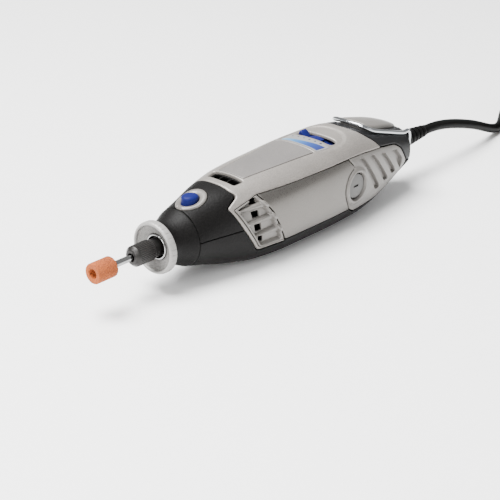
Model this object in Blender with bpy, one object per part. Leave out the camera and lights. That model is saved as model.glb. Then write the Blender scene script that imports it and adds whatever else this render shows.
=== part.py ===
"""Rotary hobby tool: motor, spindle and collet in a two-part housing, with a screwed nose cap,
a shaft lock button, a barrel-shaped speed slider, a folding hanger bail and a coiled mains lead.

Lengths below are in millimetres. "s" is the distance behind the front rim of the nose ring,
measured along the spindle's axis, and heights are counted from that axis. put() turns them into
the model's own frame: metres, +X to the tail, +Z up, Z = 0 where the belly rests."""

import math

import bmesh
import bpy
from mathutils import Matrix, Vector

# ---- driving dimensions, millimetres --------------------------------------------------------
AXIS_HEIGHT = 22.0          # spindle axis above the flat of the belly
STONE_FRONT = -37.2         # front of the grinding stone
BOOT_END = 208.0            # rear end of the cord boot
MID_S = (STONE_FRONT + BOOT_END) / 2
GAP = 0.3                   # clearance between pieces that touch
WALL = 2.3                  # housing wall

NOSE_RING_R = 12.8
SHANK_R = 1.585             # 3.17 mm, the common 1/8 inch shank
STONE_R = 5.0
NUT_R = 5.1
CAP_S = 121.5               # brush caps, on the height of the axis
CAP_R = 6.5
BUTTON_S = 24.6
SLOT_S = 115.0              # speed slider's slot
SLOT_HALF_LENGTH = 11.5
SLOT_HALF_WIDTH = 3.0
BAIL_PIVOT_S = 178.6
BAIL_PIVOT_HEIGHT = 1.0
BAIL_WIRE_R = 1.1
BOOT_HEIGHT = 1.0           # axis of the cord boot above the spindle's
CORD_R = 2.7
COIL_MID_R = 29.6
COIL_CENTRE = (330.0, -14.1)  # s and y of the coil's centre
COIL_WIDE = 17.0           # three turns side by side
COIL_HIGH = 16.7           # three layers

# ---- housing form: half width, top, bottom and squareness at stations along the axis ---------
STATIONS = (16.7, 25.0, 38.0, 55.0, 75.0, 100.0, 125.0, 140.0, 155.0, 168.0, 176.0)
HALF_WIDTH = (14.2, 15.6, 18.3, 21.2, 22.8, 23.0, 21.8, 20.2, 18.0, 15.9, 14.6)
TOP = (14.2, 16.6, 19.8, 21.8, 22.6, 23.8, 24.2, 22.5, 19.5, 16.0, 13.4)
BOTTOM = (14.2, 16.2, 19.4, 21.8, 22.4, 22.4, 22.2, 20.4, 16.6, 12.2, 9.4)
SQUARENESS = (2.0, 2.15, 2.5, 2.9, 3.0, 3.0, 3.0, 3.0, 2.8, 2.6, 2.5)


def smooth(xs, ys, x):
    """Monotone cubic through the stations (Fritsch-Carlson slopes), flat beyond the ends."""
    if x <= xs[0]:
        return ys[0]
    if x >= xs[-1]:
        return ys[-1]
    steps = [xs[i + 1] - xs[i] for i in range(len(xs) - 1)]
    slopes = [(ys[i + 1] - ys[i]) / steps[i] for i in range(len(steps))]
    tangents = [slopes[0]]
    for before, after in zip(slopes, slopes[1:]):
        tangents.append(0.0 if before * after <= 0 else 2 * before * after / (before + after))
    tangents.append(slopes[-1])
    i = max(k for k in range(len(steps)) if xs[k] <= x)
    t = (x - xs[i]) / steps[i]
    rise = ys[i + 1] - ys[i]
    return (ys[i] + rise * t * t * (3 - 2 * t)
            + steps[i] * t * (1 - t) * (tangents[i] * (1 - t) - tangents[i + 1] * t))


def put(s, y, z):
    return Vector(((s - MID_S) / 1000, y / 1000, (z + AXIS_HEIGHT) / 1000))


def form(s, inset=0.0):
    """Half width, half height, centre height and squareness of the housing's section."""
    width = smooth(STATIONS, HALF_WIDTH, s) - inset
    top = smooth(STATIONS, TOP, s) - inset
    bottom = smooth(STATIONS, BOTTOM, s) - inset
    return width, (top + bottom) / 2, (top - bottom) / 2, smooth(STATIONS, SQUARENESS, s)


def skin_point(s, turn, inset=0.0):
    width, height, centre, n = form(s, inset)
    c, d = math.cos(turn), math.sin(turn)
    y = width * math.copysign(abs(c) ** (2 / n), c)
    z = centre + height * math.copysign(abs(d) ** (2 / n), d)
    return s, y, z


def skin_height(s, y, inset=0.0):
    """Height of the housing's upper surface at s and y."""
    width, height, centre, n = form(s, inset)
    return centre + height * max(0.0, 1 - abs(y / width) ** n) ** (1 / n)


def belly_height(s, y):
    """Height of the housing's lower surface at s and y."""
    width, height, centre, n = form(s)
    return max(centre - height * max(0.0, 1 - abs(y / width) ** n) ** (1 / n), -AXIS_HEIGHT)


# ---- scene and mesh helpers -----------------------------------------------------------------
for old in list(bpy.data.objects):
    bpy.data.objects.remove(old, do_unlink=True)

FINISHES = {
    # name: colour, roughness, metallic
    "black_plastic": ((0.035, 0.034, 0.033), 0.55, 0.0),
    "grey_plastic": ((0.48, 0.46, 0.43), 0.45, 0.0),
    "dark_plastic": ((0.07, 0.07, 0.075), 0.45, 0.0),
    "silver_paint": ((0.55, 0.55, 0.55), 0.30, 0.7),
    "blue_plastic": ((0.06, 0.09, 0.42), 0.30, 0.0),
    "label": ((0.25, 0.45, 0.75), 0.40, 0.0),
    "steel": ((0.62, 0.62, 0.62), 0.25, 1.0),
    "black_steel": ((0.05, 0.047, 0.045), 0.40, 0.8),
    "chrome": ((0.80, 0.80, 0.80), 0.10, 1.0),
    "stone": ((0.58, 0.17, 0.08), 0.90, 0.0),
    "rubber": ((0.025, 0.025, 0.025), 0.70, 0.0),
    "copper": ((0.72, 0.33, 0.16), 0.35, 1.0),
    "laminations": ((0.30, 0.30, 0.31), 0.45, 0.9),
    "carbon": ((0.06, 0.06, 0.06), 0.60, 0.1),
    "board": ((0.05, 0.22, 0.10), 0.45, 0.0),
    "brass": ((0.70, 0.52, 0.22), 0.30, 1.0),
}


def finish(name):
    if name in bpy.data.materials:
        return bpy.data.materials[name]
    colour, roughness, metallic = FINISHES[name]
    material = bpy.data.materials.new(name)
    material.use_nodes = True
    shader = material.node_tree.nodes["Principled BSDF"]
    shader.inputs["Base Color"].default_value = (*colour, 1)
    shader.inputs["Roughness"].default_value = roughness
    shader.inputs["Metallic"].default_value = metallic
    return material


def add(name, verts, faces, look="steel"):
    mesh = bpy.data.meshes.new(name)
    mesh.from_pydata([tuple(v) for v in verts], [], faces)
    mesh.materials.append(finish(look))
    work = bmesh.new()
    work.from_mesh(mesh)
    bmesh.ops.recalc_face_normals(work, faces=work.faces)
    work.to_mesh(mesh)
    work.free()
    mesh.shade_smooth()
    mesh.set_sharp_from_angle(angle=math.radians(35))
    item = bpy.data.objects.new(name, mesh)
    bpy.context.scene.collection.objects.link(item)
    return item


def triangulate(mesh):
    """Plain triangles, because a Boolean needs flat faces; slivers are merged away."""
    work = bmesh.new()
    work.from_mesh(mesh)
    bmesh.ops.dissolve_limit(work, angle_limit=math.radians(0.2), verts=work.verts, edges=work.edges)
    bmesh.ops.triangulate(work, faces=work.faces)
    bmesh.ops.dissolve_degenerate(work, edges=work.edges, dist=0.000002)
    work.to_mesh(mesh)
    work.free()


def combine(item, tool, how):
    """Boolean that is applied at once; the tool object is used up."""
    triangulate(item.data)
    triangulate(tool.data)
    step = item.modifiers.new(how.title(), "BOOLEAN")
    step.operation = how
    step.solver = "EXACT"
    step.object = tool
    bpy.context.view_layer.update()
    result = bpy.data.meshes.new_from_object(item.evaluated_get(bpy.context.evaluated_depsgraph_get()))
    item.modifiers.clear()
    looks = [m for m in item.data.materials]
    item.data = result
    result.materials.clear()
    result.materials.append(looks[0])
    triangulate(result)
    bpy.data.objects.remove(tool, do_unlink=True)
    return item


def copy(item, name, look):
    twin = bpy.data.objects.new(name, item.data.copy())
    twin.data.materials.clear()
    twin.data.materials.append(finish(look))
    bpy.context.scene.collection.objects.link(twin)
    return twin


def loft(name, stations, inset, sides=24, look="black_plastic"):
    """Closed body through the housing's sections."""
    verts, faces = [], []
    for s in stations:
        for k in range(sides):
            verts.append(put(*skin_point(s, math.tau * (k + 0.5) / sides, inset)))
    for i in range(len(stations) - 1):
        for k in range(sides):
            a = i * sides + k
            b = i * sides + (k + 1) % sides
            faces.append((a, b, b + sides, a + sides))
    faces.append(tuple(range(sides)))
    last = (len(stations) - 1) * sides
    faces.append(tuple(range(last, last + sides)))
    return add(name, verts, faces, look)


def turned(name, profile, look, sides=24, centre=None, along="x"):
    """Solid of revolution. profile is a closed loop of (distance along the axis, radius);
    a radius of 0 closes the loop on the axis. centre is where distance 0 sits (s, y, z)."""
    base = centre or (0.0, 0.0, 0.0)
    verts, rings = [], []
    for a, r in profile:
        if r == 0:
            ring = [len(verts)] * sides
            places = [0.0]
        else:
            ring = list(range(len(verts), len(verts) + sides))
            places = [math.tau * (k + 0.5) / sides for k in range(sides)]
        for turn in places:
            u, v = r * math.cos(turn), r * math.sin(turn)
            offset = {"x": (a, u, v), "y": (u, a, v), "z": (u, v, a)}[along]
            verts.append(put(*(base[i] + offset[i] for i in range(3))))
        rings.append(ring)
    faces = []
    for i, ring in enumerate(rings):
        other = rings[(i + 1) % len(rings)]
        for k in range(sides):
            m = (k + 1) % sides
            corners = []
            for corner in (ring[k], ring[m], other[m], other[k]):
                if corner not in corners:
                    corners.append(corner)
            if len(corners) > 2:
                faces.append(tuple(corners))
    return add(name, verts, faces, look)


def rod(name, start, end, radius, look, along="x", at=(0.0, 0.0), sides=20):
    """Plain round bar from start to end along one axis; at gives its other two coordinates."""
    centre = {"x": (0, at[0], at[1]), "y": (at[0], 0, at[1]), "z": (at[0], at[1], 0)}[along]
    profile = [(start, 0), (start, radius), (end, radius), (end, 0)]
    return turned(name, profile, look, sides, centre, along)


def tube(name, start, end, outer, inner, look, along="x", at=(0.0, 0.0), sides=24):
    centre = {"x": (0, at[0], at[1]), "y": (at[0], 0, at[1]), "z": (at[0], at[1], 0)}[along]
    profile = [(start, inner), (start, outer), (end, outer), (end, inner)]
    return turned(name, profile, look, sides, centre, along)


def block(name, low, high, look):
    verts = [put(x, y, z) for x in (low[0], high[0]) for y in (low[1], high[1]) for z in (low[2], high[2])]
    faces = [(0, 1, 3, 2), (4, 6, 7, 5), (0, 4, 5, 1), (2, 3, 7, 6), (0, 2, 6, 4), (1, 5, 7, 3)]
    return add(name, verts, faces, look)


def prism(name, outline, low, high, plane="side"):
    """Outline in (s, z) swept along y, or for plane "top" in (s, y) swept along z."""
    verts = []
    for depth in (low, high):
        for a, b in outline:
            verts.append(put(a, depth, b) if plane == "side" else put(a, b, depth))
    count = len(outline)
    faces = [tuple(range(count)), tuple(range(count, 2 * count))]
    for k in range(count):
        m = (k + 1) % count
        faces.append((k, m, m + count, k + count))
    return add(name, verts, faces)


def grow(outline, amount):
    """Outline moved outwards by amount (inwards if negative), corners mitred."""
    count = len(outline)
    area = sum(outline[i][0] * outline[(i + 1) % count][1] - outline[(i + 1) % count][0] * outline[i][1]
               for i in range(count))
    side = 1 if area > 0 else -1
    moved = []
    for i in range(count):
        here = Vector(outline[i])
        back = (here - Vector(outline[i - 1])).normalized()
        ahead = (Vector(outline[(i + 1) % count]) - here).normalized()
        out_back = Vector((back.y, -back.x)) * side
        out_ahead = Vector((ahead.y, -ahead.x)) * side
        mitre = (out_back + out_ahead) / (1 + out_back.dot(out_ahead))
        moved.append(tuple(here + mitre * amount))
    return moved


# ---- housing outlines, seen from the side as (s, height) -----------------------------------------
FAR = 40.0
GRILLE = [(51.4, 15.7), (37.6, 11.6), (51.2, -11.0), (66.6, -10.7), (58.3, 5.0)]
PLATE = [(52.0, 15.7), (116.2, 15.1), (120.3, 10.2), (115.0, 7.6), (112.2, 2.6), (112.2, -3.4),
         (116.6, -11.1), (67.2, -10.7), (58.9, 5.0)]
REAR_PANEL = [(116.8, 15.5), (128.0, 15.0), (145.0, 12.6), (159.4, 9.4), (164.0, 6.8), (170.6, -2.2),
              (166.0, -7.2), (154.0, -10.8), (140.5, -13.0), (121.5, -13.6), (117.2, -11.4),
              (112.8, -3.6), (112.8, 2.8), (115.4, 7.2), (121.0, 10.2)]
FRONT_EDGE = [(40.6, FAR), (40.6, 18.6), (42.0, 16.9), (34.6, 12.9), (39.6, 4.4), (41.6, 1.0)]
PARTING = [(41.6, 1.0), (50.0, -12.2), (68.0, -12.4), (121.0, -15.2), (141.0, -14.6), (154.8, -12.3),
           (166.8, -8.6), (172.4, -2.4)]
TAIL_EDGE = [(133.0, FAR), (133.6, 24.0), (137.8, 20.4), (141.2, 17.8), (145.2, 14.2), (159.9, 10.9),
             (164.9, 8.0), (172.4, -2.4)]
FRONT_UPPER = FRONT_EDGE + [(10.0, 1.0), (10.0, FAR)]
LOWER = [(10.0, 1.0)] + PARTING + [(180.0, -2.4), (180.0, -FAR), (10.0, -FAR)]
UPPER = FRONT_EDGE + PARTING[1:] + TAIL_EDGE[-2::-1]
TAIL = TAIL_EDGE + [(180.0, -2.4), (180.0, FAR)]
SCREW_PLACES = [(46.0, 10.2), (46.0, -10.2), (130.5, 13.0), (130.5, -13.0)]
SCREW_R = 1.4
HEAD_R = 2.5
BOSS_R = 3.6
PILLAR_R = 2.7
SEAT_DEPTH = 2.2            # how deep the screw heads sit
BOSS_ABOVE_SEAT = 2.3


def shell_part(name, region, look):
    piece = copy(shell, name, look)
    return combine(piece, prism("region", grow(region, -GAP / 2), -FAR, FAR), "INTERSECT")


def cut_round(item, s, y, radius, low, high, along="z"):
    """Round hole; along y the second coordinate is a height."""
    return combine(item, rod("drill", low, high, radius, "steel", along, (s, y)), "DIFFERENCE")


def inside_post(s, y, low, high, radius):
    """Upright post that ends inside the housing's wall."""
    post = rod("post", low, high, radius, "steel", "z", (s, y), 12)
    return combine(post, loft("limit", [30, 40, 52, 84, 122, 134, 145], WALL / 2), "INTERSECT")


def slot_outline(s, y, half_length, half_width, points=6):
    """Stadium outline lying across the tool, in (s, y)."""
    outline = []
    reach = half_length - half_width
    for k in range(points + 1):
        turn = math.pi * k / points
        outline.append((s + half_width * math.cos(turn), y + reach + half_width * math.sin(turn)))
    for k in range(points + 1):
        turn = math.pi * (1 + k / points)
        outline.append((s + half_width * math.cos(turn), y - reach + half_width * math.sin(turn)))
    return outline


def oval(s, y, long_half, wide_half, points=16):
    return [(s + long_half * math.cos(math.tau * k / points), y + wide_half * math.sin(math.tau * k / points))
            for k in range(points)]


outer_stations = [16.7, 22, 30, 40, 52, 66, 84, 104, 122, 134, 145, 156, 166, 172, 176]
inner_stations = [12.0] + [s for s in outer_stations[1:-2]] + [173.0]
shell = loft("shell", outer_stations, 0.0)
shell = combine(shell, loft("cavity", inner_stations, WALL), "DIFFERENCE")

# The belly is flat where the tool rests.
belly = block("belly", (40, -30, -FAR), (150, 30, -AXIS_HEIGHT), "steel")
shell = combine(shell, belly, "DIFFERENCE")

# Lower shell with its screw bosses.
lower_shell = shell_part("lower_shell", LOWER, "black_plastic")
for s, y in SCREW_PLACES:
    seat = belly_height(s, y) + SEAT_DEPTH
    lower_shell = combine(lower_shell, inside_post(s, y, -FAR, seat + BOSS_ABOVE_SEAT, BOSS_R), "UNION")
    lower_shell = cut_round(lower_shell, s, y, HEAD_R + GAP, -FAR, seat)
    lower_shell = cut_round(lower_shell, s, y, SCREW_R + GAP, -FAR, 0)

# Black front part of the upper half, with the opening for the lock button.
front_upper_shell = shell_part("front_upper_shell", FRONT_UPPER, "black_plastic")
opening = prism("opening", oval(BUTTON_S + 0.6, 0, 7.2, 6.9), 8, FAR, "top")
front_upper_shell = combine(front_upper_shell, opening, "DIFFERENCE")

# Grey upper shell, open where the side pieces, the top vent and the speed slot are.
TOP_VENT = [(46.0, 8.2), (50.8, 8.8), (51.6, 0.0), (50.8, -8.8), (46.0, -8.2), (46.0, 0.0)]
upper_shell = shell_part("upper_shell", UPPER, "grey_plastic")
for outline in (GRILLE, PLATE, REAR_PANEL):
    upper_shell = combine(upper_shell, prism("side", grow(outline, GAP / 2), -FAR, FAR), "DIFFERENCE")
for s, y in SCREW_PLACES:
    foot = belly_height(s, y) + SEAT_DEPTH + BOSS_ABOVE_SEAT + 3 * GAP
    upper_shell = combine(upper_shell, inside_post(s, y, foot, FAR, PILLAR_R), "UNION")
    upper_shell = cut_round(upper_shell, s, y, SCREW_R + GAP, -FAR, foot + 9.0)
upper_shell = combine(upper_shell, prism("vent", grow(TOP_VENT, GAP / 2), 10, FAR, "top"), "DIFFERENCE")
slot = slot_outline(SLOT_S, 0, SLOT_HALF_LENGTH, SLOT_HALF_WIDTH)
upper_shell = combine(upper_shell, prism("slot", slot, 10, FAR, "top"), "DIFFERENCE")

# Side pieces: vent grille, silver plate and rear panel on each side.
for hand, low, high in (("right", -FAR, -6.0), ("left", 6.0, FAR)):
    for name, outline, look in (("vent_grille", GRILLE, "grey_plastic"),
                                ("side_plate", PLATE, "silver_paint"),
                                ("rear_panel", REAR_PANEL, "grey_plastic")):
        piece = copy(shell, name + "_" + hand, look)
        piece = combine(piece, prism("side", grow(outline, -GAP / 2), low, high), "INTERSECT")
        if name == "vent_grille":
            for top, bottom, front, back in ((15.0, 11.6, 44.0, 51.6), (9.4, 4.4, 43.4, 55.4),
                                             (2.2, -2.8, 47.0, 59.0), (-5.0, -9.0, 50.6, 62.6)):
                hole = [(front, top), (front + 1.6, bottom), (back + 1.6, bottom), (back, top)]
                piece = combine(piece, prism("hole", hole, low, high), "DIFFERENCE")
        if name == "rear_panel":
            piece = cut_round(piece, CAP_S, 0, CAP_R + GAP, low, high, "y")
            for s_top, s_bottom, top, bottom, wide in ((134.2, 148.9, 12.0, -5.0, 3.4),
                                                       (144.6, 157.0, 10.0, -3.6, 3.4)):
                bay = [(s_top, top), (s_bottom, bottom), (s_bottom + wide, bottom), (s_top + wide, top)]
                piece = combine(piece, prism("bay", bay, low, high), "DIFFERENCE")

# Top vent: a louvred insert that closes the opening behind the button.
top_vent = copy(shell, "top_vent", "dark_plastic")
top_vent = combine(top_vent, prism("vent", grow(TOP_VENT, -GAP / 2), 10, FAR, "top"), "INTERSECT")
for y in (-5.6, 0.0, 5.6):
    louvre = block("louvre", (46.9, y - 1.9, 10), (50.0, y + 1.9, FAR), "steel")
    top_vent = combine(top_vent, louvre, "DIFFERENCE")

# Tail band with the neck that carries the bail's pivots and the cord boot.
tail_band = shell_part("tail_band", TAIL, "dark_plastic")
NECK_R = 7.8
BOOT_R = 5.1
cord_bore = rod("bore", 150.0, 190.0, 6.6, "steel", "x", (0, BOOT_HEIGHT), 24)
tail_band = combine(tail_band, cord_bore, "DIFFERENCE")
neck = tube("neck", 172.4, 186.0, NECK_R, BOOT_R + GAP, "steel", "x", (0, BOOT_HEIGHT), 28)
neck = cut_round(neck, BAIL_PIVOT_S, BAIL_PIVOT_HEIGHT, BAIL_WIRE_R + GAP, -20, 20, "y")
tail_band = combine(tail_band, neck, "UNION")
lower_shell = combine(lower_shell, rod("neck", 165.0, 190.0, NECK_R + GAP, "steel", "x", (0, BOOT_HEIGHT), 24),
                      "DIFFERENCE")
bpy.data.objects.remove(shell, do_unlink=True)


def cap_piece(name, outline, inset_low, inset_high, look, rows=7, columns=6):
    """Closed slab over the housing's top, between two offsets from its surface. outline(t) gives
    the half width in y at fraction t of the run from the first to the last station."""
    first, last, half = outline
    verts, faces = [], []
    for level in (inset_low, inset_high):
        for i in range(rows + 1):
            t = i / rows
            s = first + (last - first) * t
            for j in range(columns + 1):
                y = half(t) * (2 * j / columns - 1)
                verts.append(put(s, y, skin_height(s, y) + level(t, j / columns)))
    width = columns + 1
    layer = (rows + 1) * width
    for i in range(rows):
        for j in range(columns):
            a = i * width + j
            faces.append((a, a + 1, a + width + 1, a + width))
            faces.append((a + layer, a + width + layer, a + width + 1 + layer, a + 1 + layer))
    edge = [j for j in range(width)]
    edge += [i * width + columns for i in range(1, rows + 1)]
    edge += [rows * width + j for j in range(columns - 1, -1, -1)]
    edge += [i * width for i in range(rows - 1, 0, -1)]
    for k in range(len(edge)):
        a, b = edge[k], edge[(k + 1) % len(edge)]
        faces.append((a, b, b + layer, a + layer))
    return add(name, verts, faces, look)


def hump_half(t):
    return 10.2 * (1 - 0.30 * t * t) * (0.55 + 0.45 * min(1.0, 6 * t) ** 0.5)


def hump_top(t, across):
    side = 1 - (2 * across - 1) ** 4
    return 2 * GAP + 0.4 + 2.3 * side * min(1.0, 5 * t) ** 0.6 * min(1.0, 4 * (1 - t)) ** 0.6


cap_piece("tail_hump", (143.5, 175.0, hump_half), lambda t, a: 1.7 * GAP, hump_top, "grey_plastic")

# ---- lock button, pin and spring -------------------------------------------------------------
BUTTON_TOP = 19.3
BUTTON_FLOOR = 13.6
SLEEVE_R = 9.4              # outer radius of the spindle sleeve, which the lock spring stands on
button_plate = loft("button_plate", [18.2, 22, 26, 30, 38], -1.0, 24, "grey_plastic")
bezel = prism("bezel", oval(BUTTON_S + 0.6, 0, 6.9, 6.6), 11.5, FAR, "top")
button_plate = combine(button_plate, bezel, "INTERSECT")
button_plate = combine(button_plate, prism("hole", oval(BUTTON_S, 0, 4.8, 4.3), 5, 30, "top"), "DIFFERENCE")
lock_button = turned("lock_button", [(BUTTON_FLOOR, 0), (BUTTON_FLOOR, 1), (BUTTON_TOP - 1.5, 1),
                                     (BUTTON_TOP - 0.6, 0.86), (BUTTON_TOP - 0.15, 0.5), (BUTTON_TOP, 0)],
                     "blue_plastic", 16, (BUTTON_S, 0, 0), "z")
button_centre = put(BUTTON_S, 0, 0).x
for vertex in lock_button.data.vertices:
    vertex.co.x = button_centre + (vertex.co.x - button_centre) * 4.4
    vertex.co.y *= 3.9
rod("lock_pin", 6.6, BUTTON_FLOOR - GAP, 1.1, "steel", "z", (BUTTON_S, 0), 12)


def spring(name, centre_s, low, high, radius, wire_radius, turns, look):
    """Helical compression spring as one swept body, upright at centre_s."""
    per_turn, sides = 10, 5
    steps = per_turn * turns
    verts, faces = [], []
    for i in range(steps + 1):
        turn = math.tau * i / per_turn
        z = low + wire_radius + (high - low - 2 * wire_radius) * i / steps
        for k in range(sides):
            a = math.tau * k / sides
            r = radius + wire_radius * math.cos(a)
            height = z + wire_radius * math.sin(a)
            verts.append(put(centre_s + r * math.cos(turn), r * math.sin(turn), height))
    for i in range(steps):
        for k in range(sides):
            a, b = i * sides + k, i * sides + (k + 1) % sides
            faces.append((a, b, b + sides, a + sides))
    faces.append(tuple(range(sides)))
    faces.append(tuple(range(steps * sides, (steps + 1) * sides)))
    return add(name, verts, faces, look)


spring("lock_spring", BUTTON_S, SLEEVE_R + 0.2, BUTTON_FLOOR - GAP, 2.1, 0.3, 3, "steel")

# ---- nose: ring, wrench insert, cap and spindle sleeve -------------------------------------------
turned("nose_ring", [(1.0, NOSE_RING_R), (0.3, 12.4), (0.0, 11.8), (0.3, 11.2), (1.6, 9.0), (2.4, 6.6),
                     (4.4, 6.6), (4.4, 9.4), (2.6, 9.4), (2.6, NOSE_RING_R)], "grey_plastic", 32)
turned("wrench_insert", [(2.0, 5.5), (2.0, 6.3), (7.0, 6.3), (7.0, 5.5)], "steel", 24)
turned("nose_cap", [(2.9, 11.4), (4.2, 10.8), (7.0, 10.8), (10.0, 11.5), (13.4, 12.9), (16.4, 14.2),
                    (16.4, 12.3), (14.6, 9.8), (8.6, 9.8), (7.4, 6.6), (4.7, 6.6), (4.7, 9.7),
                    (2.9, 9.7)], "black_plastic", 32)
SLEEVE_BORE = 8.3
spindle_sleeve = turned("spindle_sleeve", [(8.9, 7.2), (8.9, SLEEVE_R), (17.0, SLEEVE_R), (17.0, 11.4),
                                           (18.6, 11.4), (18.6, SLEEVE_R), (32.6, SLEEVE_R),
                                           (32.6, SLEEVE_BORE), (10.6, SLEEVE_BORE), (10.6, 7.2)],
                        "laminations", 24)
spindle_sleeve = cut_round(spindle_sleeve, BUTTON_S, 0, 1.5, 6, 12)
tube("front_bearing", 10.9, 16.0, 8.0, 3.3, "steel")
tube("rear_spindle_bearing", 28.0, 32.4, 8.0, 3.3, "steel")

# ---- spindle, collet, nut and grinding bit -------------------------------------------------------
LOCK_HUB_R = 5.6
spindle = turned("spindle", [(0.8, 2.5), (0.8, 3.5), (8.6, 3.5), (8.6, 4.6), (10.0, 4.6), (10.0, 3.0),
                             (21.6, 3.0), (21.6, LOCK_HUB_R), (27.4, LOCK_HUB_R), (27.4, 3.0), (38.0, 3.0),
                             (38.0, 0), (14.0, 0), (14.0, 2.5)], "steel", 24)
for along in ("z", "y"):
    for low, high in ((-9, -3.2), (3.2, 9)):
        spindle = cut_round(spindle, BUTTON_S, 0, 1.5, low, high, along)
turned("collet", [(-7.4, 1.9), (-7.4, 3.0), (-6.2, 3.0), (-4.6, 2.2), (9.0, 2.2), (9.0, 1.9)], "brass", 16)
turned("collet_nut", [(-13.6, 2.2), (-13.6, 3.6), (-12.0, NUT_R), (3.0, NUT_R), (3.0, 3.85), (-4.8, 3.85),
                      (-5.6, 3.4), (-7.9, 3.4), (-7.9, 2.2)], "black_steel", 24)
rod("bit_shank", -31.5, 8.4, SHANK_R, "steel", sides=16)
turned("grinding_stone", [(STONE_FRONT + 0.6, STONE_R), (STONE_FRONT, STONE_R - 0.6), (STONE_FRONT, 2.4),
                          (STONE_FRONT + 4.4, 2.4), (STONE_FRONT + 4.4, SHANK_R + GAP),
                          (-25.4, SHANK_R + GAP), (-25.4, STONE_R - 0.6), (-26.0, STONE_R)], "stone", 24)

# ---- motor --------------------------------------------------------------------------------------
SHAFT_R = 2.5
rod("armature_shaft", 40.2, 136.4, SHAFT_R, "steel", sides=16)
turned("drive_coupling", [(34.6, SHAFT_R + 0.8), (34.6, 5.4), (45.2, 5.4), (45.2, SHAFT_R + GAP),
                          (38.9, SHAFT_R + GAP), (38.9, SHAFT_R + 0.8)], "rubber", 16)
tube("motor_front_bearing", 47.0, 51.0, 6.5, SHAFT_R + GAP, "steel", sides=16)
tube("motor_rear_bearing", 131.4, 135.6, 6.5, SHAFT_R + GAP, "steel", sides=16)
tube("armature_winding", 62.0, 108.0, 8.6, SHAFT_R + GAP, "copper", sides=20)
tube("armature_core", 67.0, 101.0, 10.6, 8.9, "laminations", sides=24)
tube("commutator", 112.6, 129.4, 7.0, SHAFT_R + GAP, "copper", sides=24)
tube("stator_core", 67.0, 101.0, 17.0, 13.8, "laminations", sides=28)


def fan(name, first, last, hub, tip, blades, look):
    """Bladed wheel: one ring whose outer radius steps between hub and blade tip."""
    count = blades * 4
    verts, faces = [], []
    for s in (first, last):
        for k in range(count):
            turn = math.tau * k / count
            r = tip if k % 4 in (0, 1) else hub
            verts.append(put(s, r * math.cos(turn), r * math.sin(turn)))
            verts.append(put(s, (SHAFT_R + GAP) * math.cos(turn), (SHAFT_R + GAP) * math.sin(turn)))
    layer = 2 * count
    for k in range(count):
        a, b = 2 * k, 2 * ((k + 1) % count)
        faces.append((a, b, b + 1, a + 1))
        faces.append((a + layer, a + 1 + layer, b + 1 + layer, b + layer))
        faces.append((a, a + layer, b + layer, b))
        faces.append((a + 1, b + 1, b + 1 + layer, a + 1 + layer))
    return add(name, verts, faces, look)


fan("cooling_fan", 53.0, 59.4, 6.0, 14.5, 9, "dark_plastic")


def arc_plate(name, first, last, inner, outer, middle, spread, look, steps=10):
    """Curved plate about the axis, spread degrees to each side of the middle angle."""
    verts, faces = [], []
    for i in range(steps + 1):
        turn = math.radians(middle - spread + 2 * spread * i / steps)
        for s, r in ((first, inner), (first, outer), (last, outer), (last, inner)):
            verts.append(put(s, r * math.cos(turn), r * math.sin(turn)))
    for i in range(steps):
        for k in range(4):
            a, b = 4 * i + k, 4 * i + (k + 1) % 4
            faces.append((a, b, b + 4, a + 4))
    faces.append((0, 1, 2, 3))
    last_ring = 4 * steps
    faces.append((last_ring, last_ring + 1, last_ring + 2, last_ring + 3))
    return add(name, verts, faces, look)


arc_plate("field_coil_top", 62.5, 105.5, 11.1, 13.4, 90, 48, "copper")
arc_plate("field_coil_bottom", 62.5, 105.5, 11.1, 13.4, 270, 48, "copper")

# Brush gear on both sides: holder, carbon brush, and the screwed cap in the rear panel.
for hand, side in (("right", -1), ("left", 1)):
    near, far = sorted((side * 8.4, side * 18.4))
    holder = block("brush_holder_" + hand, (CAP_S - 4.4, near, -4.4), (CAP_S + 4.4, far, 4.4), "brass")
    cavity = block("cavity", (CAP_S - 3.2, -FAR, -2.7), (CAP_S + 3.2, FAR, 2.7), "steel")
    combine(holder, cavity, "DIFFERENCE")
    near, far = sorted((side * 7.4, side * 14.6))
    block("carbon_brush_" + hand, (CAP_S - 2.9, near, -2.4), (CAP_S + 2.9, far, 2.4), "carbon")
    profile = [(side * 18.8, 0), (side * 18.8, CAP_R), (side * 21.5, CAP_R), (side * 22.1, CAP_R - 0.6),
               (side * 22.1, 0)]
    cap = turned("brush_cap_" + hand, profile, "dark_plastic", 24, (CAP_S, 0, 0), "y")
    near, far = sorted((side * 21.2, side * 24.0))
    combine(cap, block("slot", (CAP_S - 2.6, near, -0.6), (CAP_S + 2.6, far, 0.6), "steel"), "DIFFERENCE")

# ---- speed control -------------------------------------------------------------------------------
SLIDER_R = 20.4             # the slider is a curved plate about the spindle's axis
SLIDER_REST = 70.0          # degrees; 90 is straight up, and rest is at the slow end
TAB_R = 26.3
speed_slider = arc_plate("speed_slider", 108.6, 121.4, 18.6, SLIDER_R, SLIDER_REST, 48, "blue_plastic", 16)
tab = arc_plate("tab", 113.2, 116.8, 19.2, TAB_R, SLIDER_REST, 4, "steel", 2)
speed_slider = combine(speed_slider, tab, "UNION")
block("speed_board", (138.6, -11.0, -7.4), (162.0, 11.0, -5.8), "board")
scale_outline = (97.5, 106.5, lambda t: 10.6)
cap_piece("speed_scale", scale_outline, lambda t, a: GAP, lambda t, a: GAP + 0.4, "label", 3, 8)

# ---- hanger bail ---------------------------------------------------------------------------------
BAIL_CLEAR = 0.5


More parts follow.
